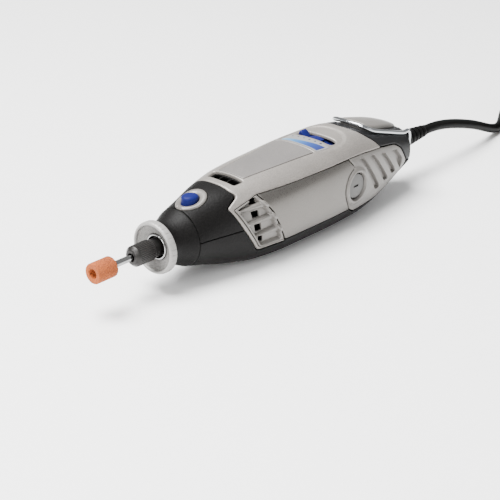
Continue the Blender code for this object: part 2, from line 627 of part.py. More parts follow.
def bail_path():
    """Half of the bail, from the end of its pivot stub to the middle of its front bend."""
    route = [(BAIL_PIVOT_S, -6.4, BAIL_PIVOT_HEIGHT), (BAIL_PIVOT_S, -9.0, BAIL_PIVOT_HEIGHT),
             (BAIL_PIVOT_S, -10.6, BAIL_PIVOT_HEIGHT + 2.0), (178.6, -11.0, 6.0), (178.0, -11.4, 9.8),
             (176.2, -11.8, 12.5)]
    lift = BAIL_WIRE_R + BAIL_CLEAR
    for s, y in ((172.0, -12.3), (166.0, -12.9), (158.0, -13.2), (150.0, -13.2), (145.0, -12.6),
                 (142.2, -10.4), (140.8, -7.2), (140.0, -3.5), (139.8, 0.0)):
        route.append((s, y, skin_height(s, y) + lift))
    return route


def wire(name, route, radius, look, resolution=2):
    """Round wire along a POLY curve with closed ends."""
    curve = bpy.data.curves.new(name, "CURVE")
    curve.dimensions = "3D"
    curve.bevel_depth = radius / 1000
    curve.bevel_resolution = resolution
    curve.use_fill_caps = True
    spline = curve.splines.new("POLY")
    spline.points.add(len(route) - 1)
    for point, place in zip(spline.points, route):
        point.co = (*put(*place), 1)
    curve.materials.append(finish(look))
    item = bpy.data.objects.new(name, curve)
    bpy.context.scene.collection.objects.link(item)
    return item


half = bail_path()
wire("hanger_bail", half + [(s, -y, z) for s, y, z in half[-2::-1]], BAIL_WIRE_R, "chrome")

# ---- cord boot, cord, coil and plug --------------------------------------------------------------
turned("cord_boot", [(168.0, 0), (168.0, 7.0), (172.0, 7.0), (172.0, BOOT_R), (186.6, BOOT_R), (197.0, 4.3),
                     (BOOT_END, 3.3), (BOOT_END, 0)], "rubber", 20, (0, 0, BOOT_HEIGHT))


def curve_through(route, spacing):
    """Points at an even spacing along a Catmull-Rom curve through the route's points."""
    padded = [route[0]] + list(route) + [route[-1]]
    fine = []
    for i in range(len(route) - 1):
        a, b, c, d = (Vector(p) for p in padded[i:i + 4])
        for k in range(24):
            t = k / 24
            fine.append(0.5 * (2 * b + (c - a) * t + (2 * a - 5 * b + 4 * c - d) * t * t
                               + (3 * b - a - 3 * c + d) * t ** 3))
    fine.append(Vector(route[-1]))
    total = sum((fine[i + 1] - fine[i]).length for i in range(len(fine) - 1))
    count = max(2, round(total / spacing))
    places, walked, i = [fine[0]], 0.0, 0
    for k in range(1, count):
        want = total * k / count
        while walked + (fine[i + 1] - fine[i]).length < want:
            walked += (fine[i + 1] - fine[i]).length
            i += 1
        places.append(fine[i].lerp(fine[i + 1], (want - walked) / (fine[i + 1] - fine[i]).length))
    return [tuple(p) for p in places] + [tuple(fine[-1])]


TABLE = -AXIS_HEIGHT
CORD_FLOOR = TABLE + CORD_R + 0.05     # height of the cord's centre where it lies on the table
coil_s, coil_y = COIL_CENTRE
CORD_ROUTE = [(BOOT_END + GAP, 0.0, BOOT_HEIGHT), (218.0, 0.0, 0.6), (230.0, 0.0, -1.4), (243.0, 0.0, -4.8),
              (256.0, 0.2, -9.0), (267.0, 0.8, -13.4), (276.0, 1.6, -17.0), (284.0, 2.6, CORD_FLOOR + 0.2),
              (289.0, 4.0, CORD_FLOOR), (293.6, 6.0, CORD_FLOOR)]
wire("power_cord", curve_through(CORD_ROUTE, 7.0), CORD_R, "rubber")
inner, outer = COIL_MID_R - COIL_WIDE / 2, COIL_MID_R + COIL_WIDE / 2
ease = 2.0
turned("cord_coil", [(0.05, inner + ease), (0.05, outer - ease), (ease, outer), (COIL_HIGH - ease, outer),
                     (COIL_HIGH, outer - ease), (COIL_HIGH, inner + ease), (COIL_HIGH - ease, inner),
                     (ease, inner)], "rubber", 28, (coil_s, coil_y, TABLE), "z")
PLUG_Y = coil_y - COIL_MID_R + 2 * CORD_R     # the plug lies on top of the coil
PLUG_SEAT = TABLE + COIL_HIGH + GAP
PLUG_THICK = 13.4
PLUG_BACK = 326.0
plug_outline = [(PLUG_BACK, 3.4), (PLUG_BACK - 18, 4.6), (PLUG_BACK - 26, 11.0), (PLUG_BACK - 40, 17.0),
                (PLUG_BACK - 50, 17.4)]
ring = [(s, PLUG_Y + w) for s, w in plug_outline] + [(s, PLUG_Y - w) for s, w in plug_outline[::-1]]
plug_body = prism("plug_body", ring, PLUG_SEAT, PLUG_SEAT + PLUG_THICK, "top")
plug_body.data.materials[0] = finish("rubber")
for number, side in ((1, -1), (2, 1)):
    rod("plug_pin_%d" % number, PLUG_BACK - 69, PLUG_BACK - 50 - GAP, 2.0, "brass",
        at=(PLUG_Y + side * 9.3, PLUG_SEAT + PLUG_THICK / 2), sides=12)

# ---- housing screws ------------------------------------------------------------------------------
for number, (s, y) in enumerate(SCREW_PLACES, 1):
    seat = belly_height(s, y) + SEAT_DEPTH - GAP
    turned("housing_screw_%d" % number, [(-1.5, 0), (-1.5, HEAD_R), (0, HEAD_R), (0, SCREW_R), (10.5, SCREW_R),
                                         (10.5, 0)], "steel", 12, (s, y, seat), "z")

# ---- joint axes: every moving piece hangs on an empty that sits on its own axis -------------------
ROTOR = ("spindle", "collet", "drive_coupling", "armature_shaft", "armature_winding", "armature_core",
         "commutator", "cooling_fan")
MOVING = {
    # joint: place of its axis, nodes
    "spindle_spin": ((0.0, 0.0, 0.0), ROTOR),
    "collet_nut_turn": ((0.0, 0.0, 0.0), ("collet_nut",)),
    "bit_slide": ((-26.2, 0.0, 0.0), ("bit_shank", "grinding_stone")),
    "nose_cap_turn": ((0.0, 0.0, 0.0), ("nose_ring", "wrench_insert", "nose_cap")),
    "shaft_lock_press": ((BUTTON_S, 0.0, BUTTON_TOP), ("lock_button", "lock_pin")),
    "speed_slider_turn": ((SLOT_S, 0.0, 0.0), ("speed_slider",)),
    "hanger_fold": ((BAIL_PIVOT_S, 0.0, BAIL_PIVOT_HEIGHT), ("hanger_bail",)),
    "brush_cap_right_turn": ((CAP_S, -18.8, 0.0), ("brush_cap_right",)),
    "brush_cap_left_turn": ((CAP_S, 18.8, 0.0), ("brush_cap_left",)),
}
for joint, (place, nodes) in MOVING.items():
    pivot = bpy.data.objects.new(joint + "_pivot", None)
    pivot.empty_display_size = 0.01
    bpy.context.scene.collection.objects.link(pivot)
    pivot.location = put(*place)
    for node in nodes:
        piece = bpy.data.objects[node]
        piece.parent = pivot
        piece.matrix_parent_inverse = Matrix.Translation(-pivot.location)
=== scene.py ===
"""Corded rotary hobby tool: the fine surface, materials, light and camera.

Lengths are millimetres until put() turns them into metres. "s" is the distance behind the front rim
of the nose ring along the spindle's axis; heights are counted from that axis. The housing's skin is
unrolled into a flat map (s, v), where v is the distance round the section, so each panel is drawn as
an outline on the map and given rounded edges, recesses and thickness."""

import math

import bmesh
import bpy
import numpy as np
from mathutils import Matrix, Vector, noise
from mathutils.geometry import delaunay_2d_cdt


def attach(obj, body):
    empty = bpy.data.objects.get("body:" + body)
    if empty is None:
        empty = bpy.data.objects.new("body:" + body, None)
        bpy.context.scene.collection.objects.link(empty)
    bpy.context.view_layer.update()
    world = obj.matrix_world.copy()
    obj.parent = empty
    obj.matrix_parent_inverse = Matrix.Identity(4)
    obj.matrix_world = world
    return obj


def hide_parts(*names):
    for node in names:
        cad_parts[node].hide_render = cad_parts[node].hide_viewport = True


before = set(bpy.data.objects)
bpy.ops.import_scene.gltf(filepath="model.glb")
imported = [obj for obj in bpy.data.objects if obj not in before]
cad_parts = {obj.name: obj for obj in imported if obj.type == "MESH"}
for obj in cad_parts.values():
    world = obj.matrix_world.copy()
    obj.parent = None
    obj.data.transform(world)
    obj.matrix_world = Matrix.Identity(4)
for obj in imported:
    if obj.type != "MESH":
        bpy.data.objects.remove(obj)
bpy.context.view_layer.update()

# ---- driving dimensions, as in the CAD ----
AXIS_HEIGHT = 22.0
STONE_FRONT = -37.2
BOOT_END = 208.0
MID_S = (STONE_FRONT + BOOT_END) / 2
CAP_S = 121.5
BUTTON_S = 24.6
BAIL_PIVOT_S = 178.6
BAIL_PIVOT_HEIGHT = 1.0
BAIL_WIRE_R = 1.1
BOOT_HEIGHT = 1.0
CORD_R = 2.7
STATIONS = (16.7, 25.0, 38.0, 55.0, 75.0, 100.0, 125.0, 140.0, 155.0, 168.0, 176.0)
HALF_WIDTH = (14.2, 15.6, 18.3, 21.2, 22.8, 23.0, 21.8, 20.2, 18.0, 15.9, 14.6)
TOP = (14.2, 16.6, 19.8, 21.8, 22.6, 23.8, 24.2, 22.5, 19.5, 16.0, 13.4)
BOTTOM = (14.2, 16.2, 19.4, 21.8, 22.4, 22.4, 22.2, 20.4, 16.6, 12.2, 9.4)
SQUARENESS = (2.0, 2.15, 2.5, 2.9, 3.0, 3.0, 3.0, 3.0, 2.8, 2.6, 2.5)
MAP_R = 21.0                # millimetres on the map for each radian round the section
HALF_TURN = math.pi * MAP_R
FULL_TURN = 2 * HALF_TURN
QUARTER = HALF_TURN / 2
TOP_R = 23.0                # radius of the housing's top, for sizes given across it
GAP = 0.3
LEAST_WALL = 0.7            # thinnest place under a recess in a panel
CORNER_STEPS = 6
CORNER_SHARE = 0.48         # most of a side that a rounded corner takes
GRID_ROW = 0.866            # distance between rows of a triangular grid, for each spacing
SLIVER = 0.02               # points this near an outline would make thin triangles
EDGE_SHARES = (0.08, 0.25, 0.55, 1.0, 1.6)
STEP_SHARES = (-0.5, -0.25, 0.0, 0.25, 0.5)
AT_ONCE = 4000              # points measured in one go, to hold memory down


def smooth(xs, ys, x):
    """Monotone cubic through the stations (Fritsch-Carlson slopes), flat beyond the ends."""
    if x <= xs[0]:
        return ys[0]
    if x >= xs[-1]:
        return ys[-1]
    steps = [xs[i + 1] - xs[i] for i in range(len(xs) - 1)]
    slopes = [(ys[i + 1] - ys[i]) / steps[i] for i in range(len(steps))]
    tangents = [slopes[0]]
    for before, after in zip(slopes, slopes[1:]):
        tangents.append(0.0 if before * after <= 0 else 2 * before * after / (before + after))
    tangents.append(slopes[-1])
    i = max(k for k in range(len(steps)) if xs[k] <= x)
    t = (x - xs[i]) / steps[i]
    rise = ys[i + 1] - ys[i]
    return (ys[i] + rise * t * t * (3 - 2 * t) + steps[i] * t * (1 - t) *
        (tangents[i] * (1 - t) - tangents[i + 1] * t))


FINE_S = np.linspace(10.0, 182.0, 1721)
FORM = {name: np.array([smooth(STATIONS, values, s) for s in FINE_S]) for name,
    values in (("w", HALF_WIDTH), ("top", TOP), ("bottom", BOTTOM), ("n", SQUARENESS))}


def section(s):
    """Half width, half height, centre height and squareness of the housing's section."""
    wide, top, bottom, squareness = (np.interp(s, FINE_S, FORM[name]) for name in
        ("w", "top", "bottom", "n"))
    return wide, (top + bottom) / 2, (top - bottom) / 2, squareness


def skin(s, v):
    """Points of the housing's surface at map places s, v; v = 0 is on +Y, a quarter turn is the top."""
    s = np.asarray(s, float)
    w, h, centre, n = section(s)
    turn = np.asarray(v, float) / MAP_R
    c, d = np.cos(turn), np.sin(turn)
    r = ((np.abs(c) / w) ** n + (np.abs(d) / h) ** n) ** (-1 / n)
    return np.stack([s, r * c, np.maximum(centre + r * d, -AXIS_HEIGHT)], -1)


def skin_normal(s, v):
    step = 0.08
    along = skin(s + step, v) - skin(s - step, v)
    around = skin(s, v + step) - skin(s, v - step)
    normal = np.cross(around, along)
    normal /= np.linalg.norm(normal, axis=-1, keepdims=True)
    middle = skin(s, v)
    outward = np.sign(np.sum(normal[..., 1:] * middle[..., 1:], axis=-1, keepdims=True))
    return normal * outward


def place(points):
    """Millimetre points (s, y, z) as metres in the model's frame."""
    points = np.asarray(points, float)
    return (points + np.array([-MID_S, 0.0, AXIS_HEIGHT])) / 1000


def put(s, y, z):
    return Vector(((s - MID_S) / 1000, y / 1000, (z + AXIS_HEIGHT) / 1000))


# ---- places on the map ----
def side(s, z, hand=-1):
    """Map place of a point given by its height, on the -Y side (hand -1) or the +Y side (1)."""
    w, h, centre, n = section(s)
    rise = np.clip((z - centre) / h, -1, 1)
    y = w * (1 - abs(rise) ** n) ** (1 / n)
    turn = math.atan2(rise * h, y)
    return (s, MAP_R * (turn if hand > 0 else math.pi - turn))


def over(s, y):
    """Map place of a point on the top at y."""
    w, h, centre, n = section(s)
    rise = h * (1 - min(1.0, abs(y / w)) ** n) ** (1 / n)
    return (s, MAP_R * math.atan2(rise, y))


def rounded(points, radius):
    """Polygon with its corners rounded; radius is one number or one for each point."""
    radii = radius if isinstance(radius, (list, tuple)) else [radius] * len(points)
    result = []
    count = len(points)
    for i, point in enumerate(points):
        here = Vector(point)
        back, ahead = Vector(points[i - 1]) - here, Vector(points[(i + 1) % count]) - here
        if radii[i] <= 0:
            result.append(tuple(here))
            continue
        reach = min(radii[i], back.length * CORNER_SHARE, ahead.length * CORNER_SHARE)
        start, end = here + back.normalized() * reach, here + ahead.normalized() * reach
        for k in range(CORNER_STEPS + 1):
            t = k / CORNER_STEPS
            result.append(tuple(start * (1 - t) ** 2 + here * 2 * t * (1 - t) + end * t * t))
    return result


def dense(points, step):
    """The same outline with a point at least every step."""
    result = []
    for i in range(len(points)):
        a, b = Vector(points[i]), Vector(points[(i + 1) % len(points)])
        pieces = max(1, math.ceil((b - a).length / step))
        for k in range(pieces):
            result.append(tuple(a.lerp(b, k / pieces)))
    return result


def circle(s, v, radius, count=64, stretch=1.0):
    return [(s + radius * stretch * math.cos(math.tau * k / count), v + radius *
        math.sin(math.tau * k / count)) for k in range(count)]


def grown(loop, amount):
    """Closed loop moved outwards by amount, or inwards if it is negative."""
    points = np.array(loop)
    ahead, back = np.roll(points, -1, 0), np.roll(points, 1, 0)
    area = np.sum(points[:, 0] * ahead[:, 1] - ahead[:, 0] * points[:, 1])
    tangent = ahead - back
    tangent /= np.maximum(np.linalg.norm(tangent, axis=1, keepdims=True), 1e-9)
    normal = np.stack([tangent[:, 1], -tangent[:, 0]], 1) * (1 if area > 0 else -1)
    moved = points + normal * amount
    far = span(moved, loop) >= abs(amount) * 0.97
    return [tuple(p) for p in moved[far]]


def span(points, loop):
    """Distance from each point to a closed loop."""
    points = np.asarray(points, float)
    a = np.array(loop)
    b = np.roll(a, -1, 0)
    run = b - a
    size = np.maximum(np.sum(run * run, 1), 1e-12)
    best = np.full(len(points), 1e9)
    for low in range(0, len(points), AT_ONCE):
        chunk = points[low:low + AT_ONCE]
        gap = chunk[:, None, :] - a[None]
        t = np.clip(np.sum(gap * run[None], 2) / size[None], 0, 1)
        off = gap - t[..., None] * run[None]
        best[low:low + AT_ONCE] = np.sqrt(np.min(np.sum(off * off, 2), 1))
    return best


def within(points, loop):
    """Which points lie inside a closed loop."""
    points = np.asarray(points, float)
    a = np.array(loop)
    b = np.roll(a, -1, 0)
    result = np.zeros(len(points), bool)
    for low in range(0, len(points), AT_ONCE):
        x, y = points[low:low + AT_ONCE, 0:1], points[low:low + AT_ONCE, 1:2]
        crosses = (a[:, 1][None] > y) != (b[:, 1][None] > y)
        slope = (b[:, 0] - a[:, 0]) / np.where(b[:, 1] == a[:, 1], 1e-9, b[:, 1] - a[:, 1])
        hits = crosses & (x < (y - a[:, 1][None]) * slope[None] + a[:, 0][None])
        result[low:low + AT_ONCE] = np.sum(hits, 1) % 2 == 1
    return result


def depth_inside(points, loop):
    """Signed distance to a loop, positive inside it."""
    return span(points, loop) * np.where(within(points, loop), 1.0, -1.0)


# ---- making objects ----
def linked(name, data):
    """New object of the scene from a mesh, curve, light or camera."""
    item = bpy.data.objects.new(name, data)
    bpy.context.scene.collection.objects.link(item)
    return item


def closed_mesh(name, verts, faces):
    """Mesh from vertices in metres, with its faces turned outwards."""
    mesh = bpy.data.meshes.new(name)
    mesh.from_pydata([tuple(v) for v in verts], [], faces)
    work = bmesh.new()
    work.from_mesh(mesh)
    bmesh.ops.recalc_face_normals(work, faces=work.faces)
    work.to_mesh(mesh)
    work.free()
    return mesh


def new_object(name, verts, faces, material, body, sharp=42.0):
    """Mesh object in metres that rides on a body."""
    mesh = closed_mesh(name, verts, faces)
    mesh.materials.append(material)
    mesh.shade_smooth()
    mesh.set_sharp_from_angle(angle=math.radians(sharp))
    item = linked(name, mesh)
    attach(item, body)
    return item


def edge_drop(distance, radius):
    """How far a rounded edge lies below the face at a distance from the rim."""
    if radius <= 0:
        return np.zeros_like(distance)
    inner = np.clip(radius - distance, 0, radius)
    return radius - np.sqrt(radius * radius - inner * inner)


def patch(name, outline, material, holes=(), steps=(), bump=None, lift=0.0,
        thick=1.8, edge=0.5, spacing=1.6, fine=()):
    """Panel on the housing's skin. outline and holes are map loops; steps are (loop, depth, width)
    with depth downwards; bump(s, v) adds height; fine is (loop, spacing) for places with detail."""
    loops = [list(outline)] + [list(hole) for hole in holes]
    fixed = [p for loop in loops for p in loop]
    edges = []
    start = 0
    for loop in loops:
        edges += [(start + k, start + (k + 1) % len(loop)) for k in range(len(loop))]
        start += len(loop)
    rows = []
    for i, loop in enumerate(loops):
        inward = -1 if i == 0 else 1
        for share in EDGE_SHARES:
            rows += grown(loop, inward * edge * share)
    for loop, depth, width in steps:
        for share in STEP_SHARES:
            rows += grown(loop, width * share) if share else list(loop)
    corners = np.array(outline)
    low, high = corners.min(0), corners.max(0)
    grids = [(None, spacing)] + list(fine)
    inner = []
    for number, (region, pitch) in enumerate(grids):
        box_low, box_high = low, high
        if region is not None:
            box_low, box_high = np.array(region).min(0), np.array(region).max(0)
        across = np.arange(box_low[0], box_high[0], pitch)
        up = np.arange(box_low[1], box_high[1], pitch * GRID_ROW)
        grid = np.array([(x + (pitch / 2 if j % 2 else 0), y) for j, y in enumerate(up) for x in across])
        if len(grid) == 0:
            continue
        if region is not None:
            grid = grid[within(grid, region)]
        for other, finer in grids[number + 1:]:
            if finer < pitch and len(grid):
                grid = grid[~within(grid, other)]
        if len(grid):
            grid = grid[span(grid, outline) > min(pitch, 1.2) * 0.6 + edge]
            inner.append((grid, pitch))
    rows = np.array(rows) if rows else np.zeros((0, 2))
    rows = rows[within(rows, outline)]
    kept = [rows[span(rows, outline) > SLIVER]]
    for grid, pitch in inner:
        for loop, depth, width in steps:
            if len(grid):
                grid = grid[span(grid, loop) > width * 0.5 + pitch * 0.3]
        kept.append(grid)
    loose = np.concatenate(kept)
    for hole in holes:
        loose = loose[~within(loose, hole)]
        loose = loose[span(loose, hole) > SLIVER]
    points = [Vector(p) for p in fixed] + [Vector(p) for p in loose]
    made = delaunay_2d_cdt(points, edges, [], 0, 1e-5)
    flat, faces = np.array([tuple(p) for p in made[0]]), made[2]
    middles = np.array([flat[list(f)].mean(0) for f in faces])
    keep = within(middles, outline)
    for hole in holes:
        keep &= ~within(middles, hole)
    faces = [tuple(f) for f, k in zip(faces, keep) if k]
    used = sorted({i for f in faces for i in f})
    renumber = {old: new for new, old in enumerate(used)}
    faces = [tuple(renumber[i] for i in f) for f in faces]
    flat = flat[used]
    s, v = flat[:, 0], flat[:, 1]
    height = np.full(len(flat), float(lift))
    for i, loop in enumerate(loops):
        height -= edge_drop(span(flat, loop), edge)
    for loop, depth, width in steps:
        t = np.clip((depth_inside(flat, loop) + width / 2) / width, 0, 1)
        height -= depth * t * t * (3 - 2 * t)
    if bump is not None:
        height += bump(s, v)
    base, normal = skin(s, v), skin_normal(s, v)
    low_height = np.minimum(lift - thick, height - LEAST_WALL)
    top = place(base + normal * height[:, None])
    bottom = place(base + normal * low_height[:, None])
    count = len(flat)
    seen = {}
    for f in faces:
        for pair in zip(f, f[1:] + f[:1]):
            seen[pair] = True
    all_faces = list(faces) + [tuple(i + count for i in f[::-1]) for f in faces]
    for a, b in seen:
        if (b, a) not in seen:
            all_faces.append((b, a, a + count, b + count))
    return new_object(name, np.concatenate([top, bottom]), all_faces, material, "housing")


def turn(name, profile, material, slot, body, sides=72, centre=(0.0, 0.0, 0.0), along="x", warp=None,
        sharp=42.0):
    """Turned piece from a closed loop of (distance along the axis, radius); 0 closes it on the axis."""
    verts, rings = [], []
    for a, r in profile:
        if r <= 1e-6:
            ring, angles = [len(verts)] * sides, [0.0]
        else:
            ring = list(range(len(verts), len(verts) + sides))
            angles = [math.tau * k / sides for k in range(sides)]
        for angle in angles:
            d, q = warp(a, r, angle) if warp and r > 1e-6 else (a, r)
            u, w = q * math.cos(angle), q * math.sin(angle)
            offset = {"x": (d, u, w), "y": (u, d, w), "z": (u, w, d)}[along]
            verts.append(put(*(centre[i] + offset[i] for i in range(3))))
        rings.append(ring)
    faces = []
    for i, ring in enumerate(rings):
        other = rings[(i + 1) % len(rings)]
        for k in range(sides):
            m = (k + 1) % sides
            corners = []
            for corner in (ring[k], ring[m], other[m], other[k]):
                if corner not in corners:
                    corners.append(corner)
            if len(corners) > 2:
                faces.append(tuple(corners))
    return new_object(name, verts, faces, material, body, sharp)


def hoops(name, rings, material, body, closed=True):
    """Body through rings of equally many millimetre points; closed joins the last ring to the first."""
    count = len(rings[0])
    verts = [put(*p) for ring in rings for p in ring]
    faces = []
    for i in range(len(rings) if closed else len(rings) - 1):
        j = (i + 1) % len(rings)
        for k in range(count):
            m = (k + 1) % count
            faces.append((i * count + k, i * count + m, j * count + m, j * count + k))
    if not closed:
        faces.append(tuple(range(count)))
        faces.append(tuple(range((len(rings) - 1) * count, len(rings) * count)))
    return new_object(name, verts, faces, material, body)


def wire(name, points, radius, material, body, resolution):
    """Round wire along millimetre points."""
    curve = bpy.data.curves.new(name, "CURVE")
    curve.dimensions = "3D"
    curve.bevel_depth = radius / 1000
    curve.bevel_resolution = resolution
    curve.use_fill_caps = True
    spline = curve.splines.new("POLY")
    spline.points.add(len(points) - 1)
    for point, spot in zip(spline.points, points):
        point.co = (*put(*spot), 1)
    spline.use_smooth = True
    curve.materials.append(material)
    item = linked(name, curve)
    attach(item, body)
    return item


def curve_through(route, spacing):
    """Points at an even spacing along a Catmull-Rom curve through the route's points."""
    padded = [route[0]] + list(route) + [route[-1]]
    fine = []
    for i in range(len(route) - 1):
        a, b, c, d = (Vector(p) for p in padded[i:i + 4])
        for k in range(24):
            t = k / 24
            fine.append(0.5 * (2 * b + (c - a) * t + (2 * a - 5 * b + 4 * c - d) * t * t +
                (3 * b - a - 3 * c + d) * t ** 3))
    fine.append(Vector(route[-1]))
    total = sum((fine[i + 1] - fine[i]).length for i in range(len(fine) - 1))
    count = max(2, round(total / spacing))
    places, walked, i = [fine[0]], 0.0, 0
    for k in range(1, count):
        want = total * k / count
        while walked + (fine[i + 1] - fine[i]).length < want:
            walked += (fine[i + 1] - fine[i]).length
            i += 1
        places.append(fine[i].lerp(fine[i + 1], (want - walked) / (fine[i + 1] - fine[i]).length))
    return [tuple(p) for p in places] + [tuple(fine[-1])]


# ---- materials ----
TONE = 0.66                 # holds every colour but the floor's down, as the light is bright
SLOW_GRAIN = 60.0           # scale of the slow change of tone


def set_inputs(node, **values):
    """Sets a node's inputs by name, an underscore standing for a space."""
    for name, value in values.items():
        node.inputs[name.replace("_", " ")].default_value = value
    return node


def finish(name, colour, roughness, metallic=0.0, grain=1400.0, spread=0.10, bump=0.10, bump_grain=2600.0,
        depth=0.0002, rough_spread=0.10, coat=0.0, second=None, shine=0.5):
    """Moulded, painted or turned surface: fine grain in colour, roughness and relief, and a slow
    change of tone over the piece."""
    material = bpy.data.materials.new(name)
    material.use_nodes = True
    nodes, links = material.node_tree.nodes, material.node_tree.links
    shader = nodes["Principled BSDF"]
    set_inputs(shader, Metallic=metallic, Specular_IOR_Level=shine, Coat_Weight=coat, Coat_Roughness=0.15)
    coordinate = nodes.new("ShaderNodeTexCoord")

    def speckle(scale, detail):
        node = set_inputs(nodes.new("ShaderNodeTexNoise"), Scale=scale, Detail=detail)
        links.new(coordinate.outputs["Object"], node.inputs["Vector"])
        return node

    fine, slow, relief = speckle(grain, 3.0), speckle(SLOW_GRAIN, 2.0), speckle(bump_grain, 2.0)
    tone = nodes.new("ShaderNodeMix")
    tone.data_type = "FLOAT"
    tone.inputs[0].default_value = 0.3
    links.new(fine.outputs["Fac"], tone.inputs[2])
    links.new(slow.outputs["Fac"], tone.inputs[3])
    ramp = nodes.new("ShaderNodeValToRGB")
    held = 1.0 if name == "pale_floor" else TONE
    dark = [c * held * (1 - spread) for c in colour]
    light = [min(1.0, c * held * (1 + spread)) for c in (second or colour)]
    for element, position, shade in zip(ramp.color_ramp.elements, (0.30, 0.70), (dark, light)):
        element.position = position
        element.color = (*shade, 1)
    links.new(tone.outputs[0], ramp.inputs["Fac"])
    links.new(ramp.outputs["Color"], shader.inputs["Base Color"])
    rough = set_inputs(nodes.new("ShaderNodeMapRange"), To_Min=max(0.02, roughness - rough_spread),
        To_Max=min(1.0, roughness + rough_spread))
    links.new(fine.outputs["Fac"], rough.inputs["Value"])
    links.new(rough.outputs["Result"], shader.inputs["Roughness"])
    if bump > 0:
        raised = set_inputs(nodes.new("ShaderNodeBump"), Strength=bump, Distance=depth)
        links.new(relief.outputs["Fac"], raised.inputs["Height"])
        links.new(raised.outputs["Normal"], shader.inputs["Normal"])
    return material


def along_colours(name, stops, axis, low, high, roughness):
    """Printed band whose colour runs along one axis of the object, with a little grain."""
    material = finish(name, (0.5, 0.5, 0.5), roughness, bump=0.05)
    nodes, links = material.node_tree.nodes, material.node_tree.links
    coordinate = nodes.new("ShaderNodeTexCoord")
    split = nodes.new("ShaderNodeSeparateXYZ")
    links.new(coordinate.outputs["Object"], split.inputs["Vector"])
    reach = set_inputs(nodes.new("ShaderNodeMapRange"), From_Min=low, From_Max=high)
    links.new(split.outputs[axis], reach.inputs["Value"])
    ramp = nodes.new("ShaderNodeValToRGB")
    ramp.color_ramp.elements[0].color = (*stops[0], 1)
    ramp.color_ramp.elements[1].color = (*stops[-1], 1)
    for k, stop in enumerate(stops[1:-1], 1):
        ramp.color_ramp.elements.new(k / (len(stops) - 1)).color = (*stop, 1)
    links.new(reach.outputs["Result"], ramp.inputs["Fac"])
    links.new(ramp.outputs["Color"], nodes["Principled BSDF"].inputs["Base Color"])
    return material


def add_stripes(material, scale, strength, depth, direction="X"):
    """Regular fine ridges, for wound wire, stacked sheets and lathe marks."""
    nodes, links = material.node_tree.nodes, material.node_tree.links
    coordinate = nodes.new("ShaderNodeTexCoord")
    wave = set_inputs(nodes.new("ShaderNodeTexWave"), Scale=scale, Distortion=0.4)
    wave.bands_direction = direction
    links.new(coordinate.outputs["Object"], wave.inputs["Vector"])
    ridge = set_inputs(nodes.new("ShaderNodeBump"), Strength=strength, Distance=depth)
    links.new(wave.outputs["Fac"], ridge.inputs["Height"])
    links.new(ridge.outputs["Normal"], nodes["Principled BSDF"].inputs["Normal"])
    return material


GREY = finish("light_grey_shell", (0.305, 0.282, 0.258), 0.42, metallic=0.3, grain=1700.0, spread=0.26,
    bump=0.22, bump_grain=1900.0, coat=0.08)
GREY_TOP = finish("light_grey_smooth", (0.222, 0.208, 0.192), 0.38, metallic=0.25, grain=1900.0,
    spread=0.15, bump=0.12, bump_grain=2200.0, coat=0.1)
SILVER = finish("satin_silver", (0.19, 0.179, 0.164), 0.30, metallic=0.8, grain=3000.0, spread=0.06,
    bump=0.015, bump_grain=4000.0, coat=0.1)
BLACK = finish("black_textured", (0.0050, 0.0046, 0.0044), 0.48, shine=0.10, grain=1500.0, spread=0.6,
    bump=0.55, bump_grain=1500.0, depth=0.0003, rough_spread=0.12)
DARK = finish("dark_grey_plastic", (0.012, 0.012, 0.0130), 0.38, shine=0.14, grain=2200.0, spread=0.18,
    bump=0.15, bump_grain=3200.0)
RIM = finish("pale_ring", (0.40, 0.39, 0.375), 0.42, metallic=0.15, grain=1900.0, spread=0.12, bump=0.1)
CAP_DARK = finish("cap_plastic", (0.14, 0.137, 0.13), 0.45, grain=3000.0, spread=0.15, bump=0.2)
INSIDE = finish("inner_plastic", (0.005, 0.005, 0.005), 0.8, shine=0.1, grain=1800.0, spread=0.2,
    bump=0.1)
BLUE = finish("blue_gloss", (0.009, 0.013, 0.115), 0.46, grain=900.0, spread=0.12, bump=0.04, shine=0.08)
STEEL = add_stripes(finish("turned_steel", (0.34, 0.34, 0.335), 0.26, 1.0, grain=2600.0, spread=0.08,
    bump=0.05), 900.0, 0.06, 0.0001)
BRIGHT = finish("bright_steel", (0.50, 0.50, 0.50), 0.14, 1.0, grain=1800.0, spread=0.05, bump=0.03)
# Black steel of the collet nut; the housing screws take it too, as painted shade that keeps them from
# glinting.
NUT_BLACK_AND_SCREW_SHADE = finish("nut_black_steel_and_painted_screw_shade", (0.024, 0.022, 0.021), 0.40, 0.5, grain=2600.0, spread=0.25,
    bump=0.15)
CHROME = finish("polished_chrome", (0.62, 0.64, 0.66), 0.07, 1.0, grain=700.0, spread=0.03, bump=0.02,
    rough_spread=0.04)
CAST = finish("mottled_grey_recess", (0.25, 0.242, 0.23), 0.48, 0.35, grain=1500.0, spread=0.42,
    bump=0.55, bump_grain=1500.0, depth=0.0005)
STONE = finish("orange_abrasive", (0.25, 0.038, 0.003), 0.92, grain=2100.0, spread=0.55, bump=0.9,
    bump_grain=1700.0, depth=0.0006, second=(0.46, 0.105, 0.017), rough_spread=0.05)
RUBBER = finish("black_rubber", (0.003, 0.003, 0.003), 0.50, shine=0.08, grain=1500.0, spread=0.25,
    bump=0.15)
COPPER = add_stripes(finish("wound_copper", (0.62, 0.26, 0.11), 0.35, 0.9, spread=0.15, bump=0.1), 700.0,
    0.7, 0.0005)
BARS = add_stripes(finish("copper_bars", (0.66, 0.34, 0.20), 0.25, 1.0, spread=0.10, bump=0.1), 180.0,
    0.5, 0.0004, "Z")
IRON = add_stripes(finish("stacked_iron", (0.22, 0.22, 0.23), 0.42, 0.9, spread=0.2, bump=0.1), 900.0,
    0.6, 0.0003)
CARBON = finish("pressed_carbon", (0.04, 0.04, 0.04), 0.62, 0.1, spread=0.3, bump=0.3)
BOARD = finish("green_board", (0.02, 0.12, 0.05), 0.4, spread=0.2, bump=0.1, coat=0.4)
